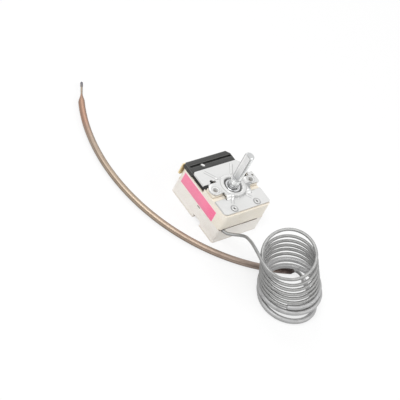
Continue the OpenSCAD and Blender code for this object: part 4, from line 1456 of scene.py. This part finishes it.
@dataclass
class Studio:
    """Floor, light and the camera at the photograph's place."""

    eye: Point = (-0.5980786, -0.3644490, 0.6642550)
    right: Point = (0.7522092, -0.5527214, 0.3587206)
    down: Point = (-0.2400488, -0.7368571, -0.6319954)
    ahead: Point = (0.6136432, 0.3892823, -0.6869507)
    lens: float = 144.0
    sensor: float = 36.0
    clip: Flat = (0.05, 20.0)
    floor_half: float = 6.0
    floor_seen: float = 0.72
    floor_mirrored: float = 0.6
    aim: Point = (0.0, -0.01, 0.01)

    def build(self) -> None:
        """Sets up the whole studio."""
        self.camera()
        self.floor()
        self.world()
        self.lamp("key", (-0.55, -0.15, 1.1), 0.7, 9.0)
        self.lamp("fill", (0.7, -0.9, 0.9), 1.0, 5.0)
        self.lamp("back", (0.3, 1.0, 0.9), 0.8, 4.0)

    def camera(self) -> None:
        """Places the camera."""
        data = bpy.data.cameras.new("photo camera")
        data.lens = self.lens
        data.sensor_width = self.sensor
        data.clip_start, data.clip_end = self.clip
        made = link("photo camera", data)
        rows = (self.right, [-part for part in self.down], [-part for part in self.ahead])
        made.matrix_world = Matrix.Translation(self.eye) @ Matrix(rows).transposed().to_4x4()
        bpy.context.scene.camera = made

    def floor(self) -> None:
        """Lays the pale floor."""
        mesh = bpy.data.meshes.new("floor")
        half = self.floor_half
        mesh.from_pydata([(x, y, 0) for x, y in rectangle(-half, -half, half, half)], [], [(0, 1, 2, 3)])
        made = link("floor", mesh)
        shader = Shader("pale floor")
        shader.paint(Base_Color=(0.86, 0.86, 0.86), Roughness=0.9, Specular_IOR_Level=0.1)
        glow = shader.node("ShaderNodeEmission", None, {"Color": (1.0, 1.0, 1.0), "Strength": 1.0})
        path = shader.node("ShaderNodeLightPath")
        seen = Signal(shader, path.outputs["Is Camera Ray"]) * self.floor_seen
        mirrored = Signal(shader, path.outputs["Is Glossy Ray"]) * self.floor_mirrored
        sockets = {0: seen + mirrored, 1: shader.surface.outputs[0], 2: glow.outputs[0]}
        both = shader.node("ShaderNodeMixShader", None, sockets)
        shader.feed(shader.tree.nodes["Material Output"].inputs["Surface"], both.outputs[0])
        mesh.materials.append(shader.material)

    def world(self) -> None:
        """Makes the pale surroundings."""
        shader = Shader("pale room", world=True)
        bpy.context.scene.world = shader.material
        path = shader.node("ShaderNodeLightPath").outputs
        seen = Signal(shader, path["Is Camera Ray"]).largest(path["Is Glossy Ray"])
        seen = seen.largest(path["Is Transmission Ray"])
        shader.feed(shader.surface.inputs["Color"], (1.0, 1.0, 1.0))
        shader.feed(shader.surface.inputs["Strength"], 0.5 + seen * 0.5)

    def lamp(self, name: str, place: Point, size: float, power: float) -> None:
        """Hangs a soft lamp that looks at the control.

        Args:
            name: Its name.
            place: Where it hangs, in metres.
            size: Its side in metres.
            power: Its power in watts.
        """
        data = bpy.data.lights.new(name, "AREA")
        data.size = size
        data.energy = power
        made = link(name, data)
        aim = Vector(self.aim) - Vector(place)
        made.matrix_world = Matrix.Translation(place) @ aim.to_track_quat("-Z", "Y").to_matrix().to_4x4()


def main() -> None:
    """Builds the studio and every sub-assembly, and logs each one as it is built."""
    logging.basicConfig(level=logging.INFO, format="%(name)s %(message)s")
    bpy.context.scene.view_settings.view_transform = "Standard"
    Studio().build()
    for part in (Housing, Bracket, ControlShaft, MainSwitch, AuxiliarySwitch, ThermalSystem):
        part().build()
        LOG.info("%s built", part.__name__)


if __name__ == "__main__":
    main()
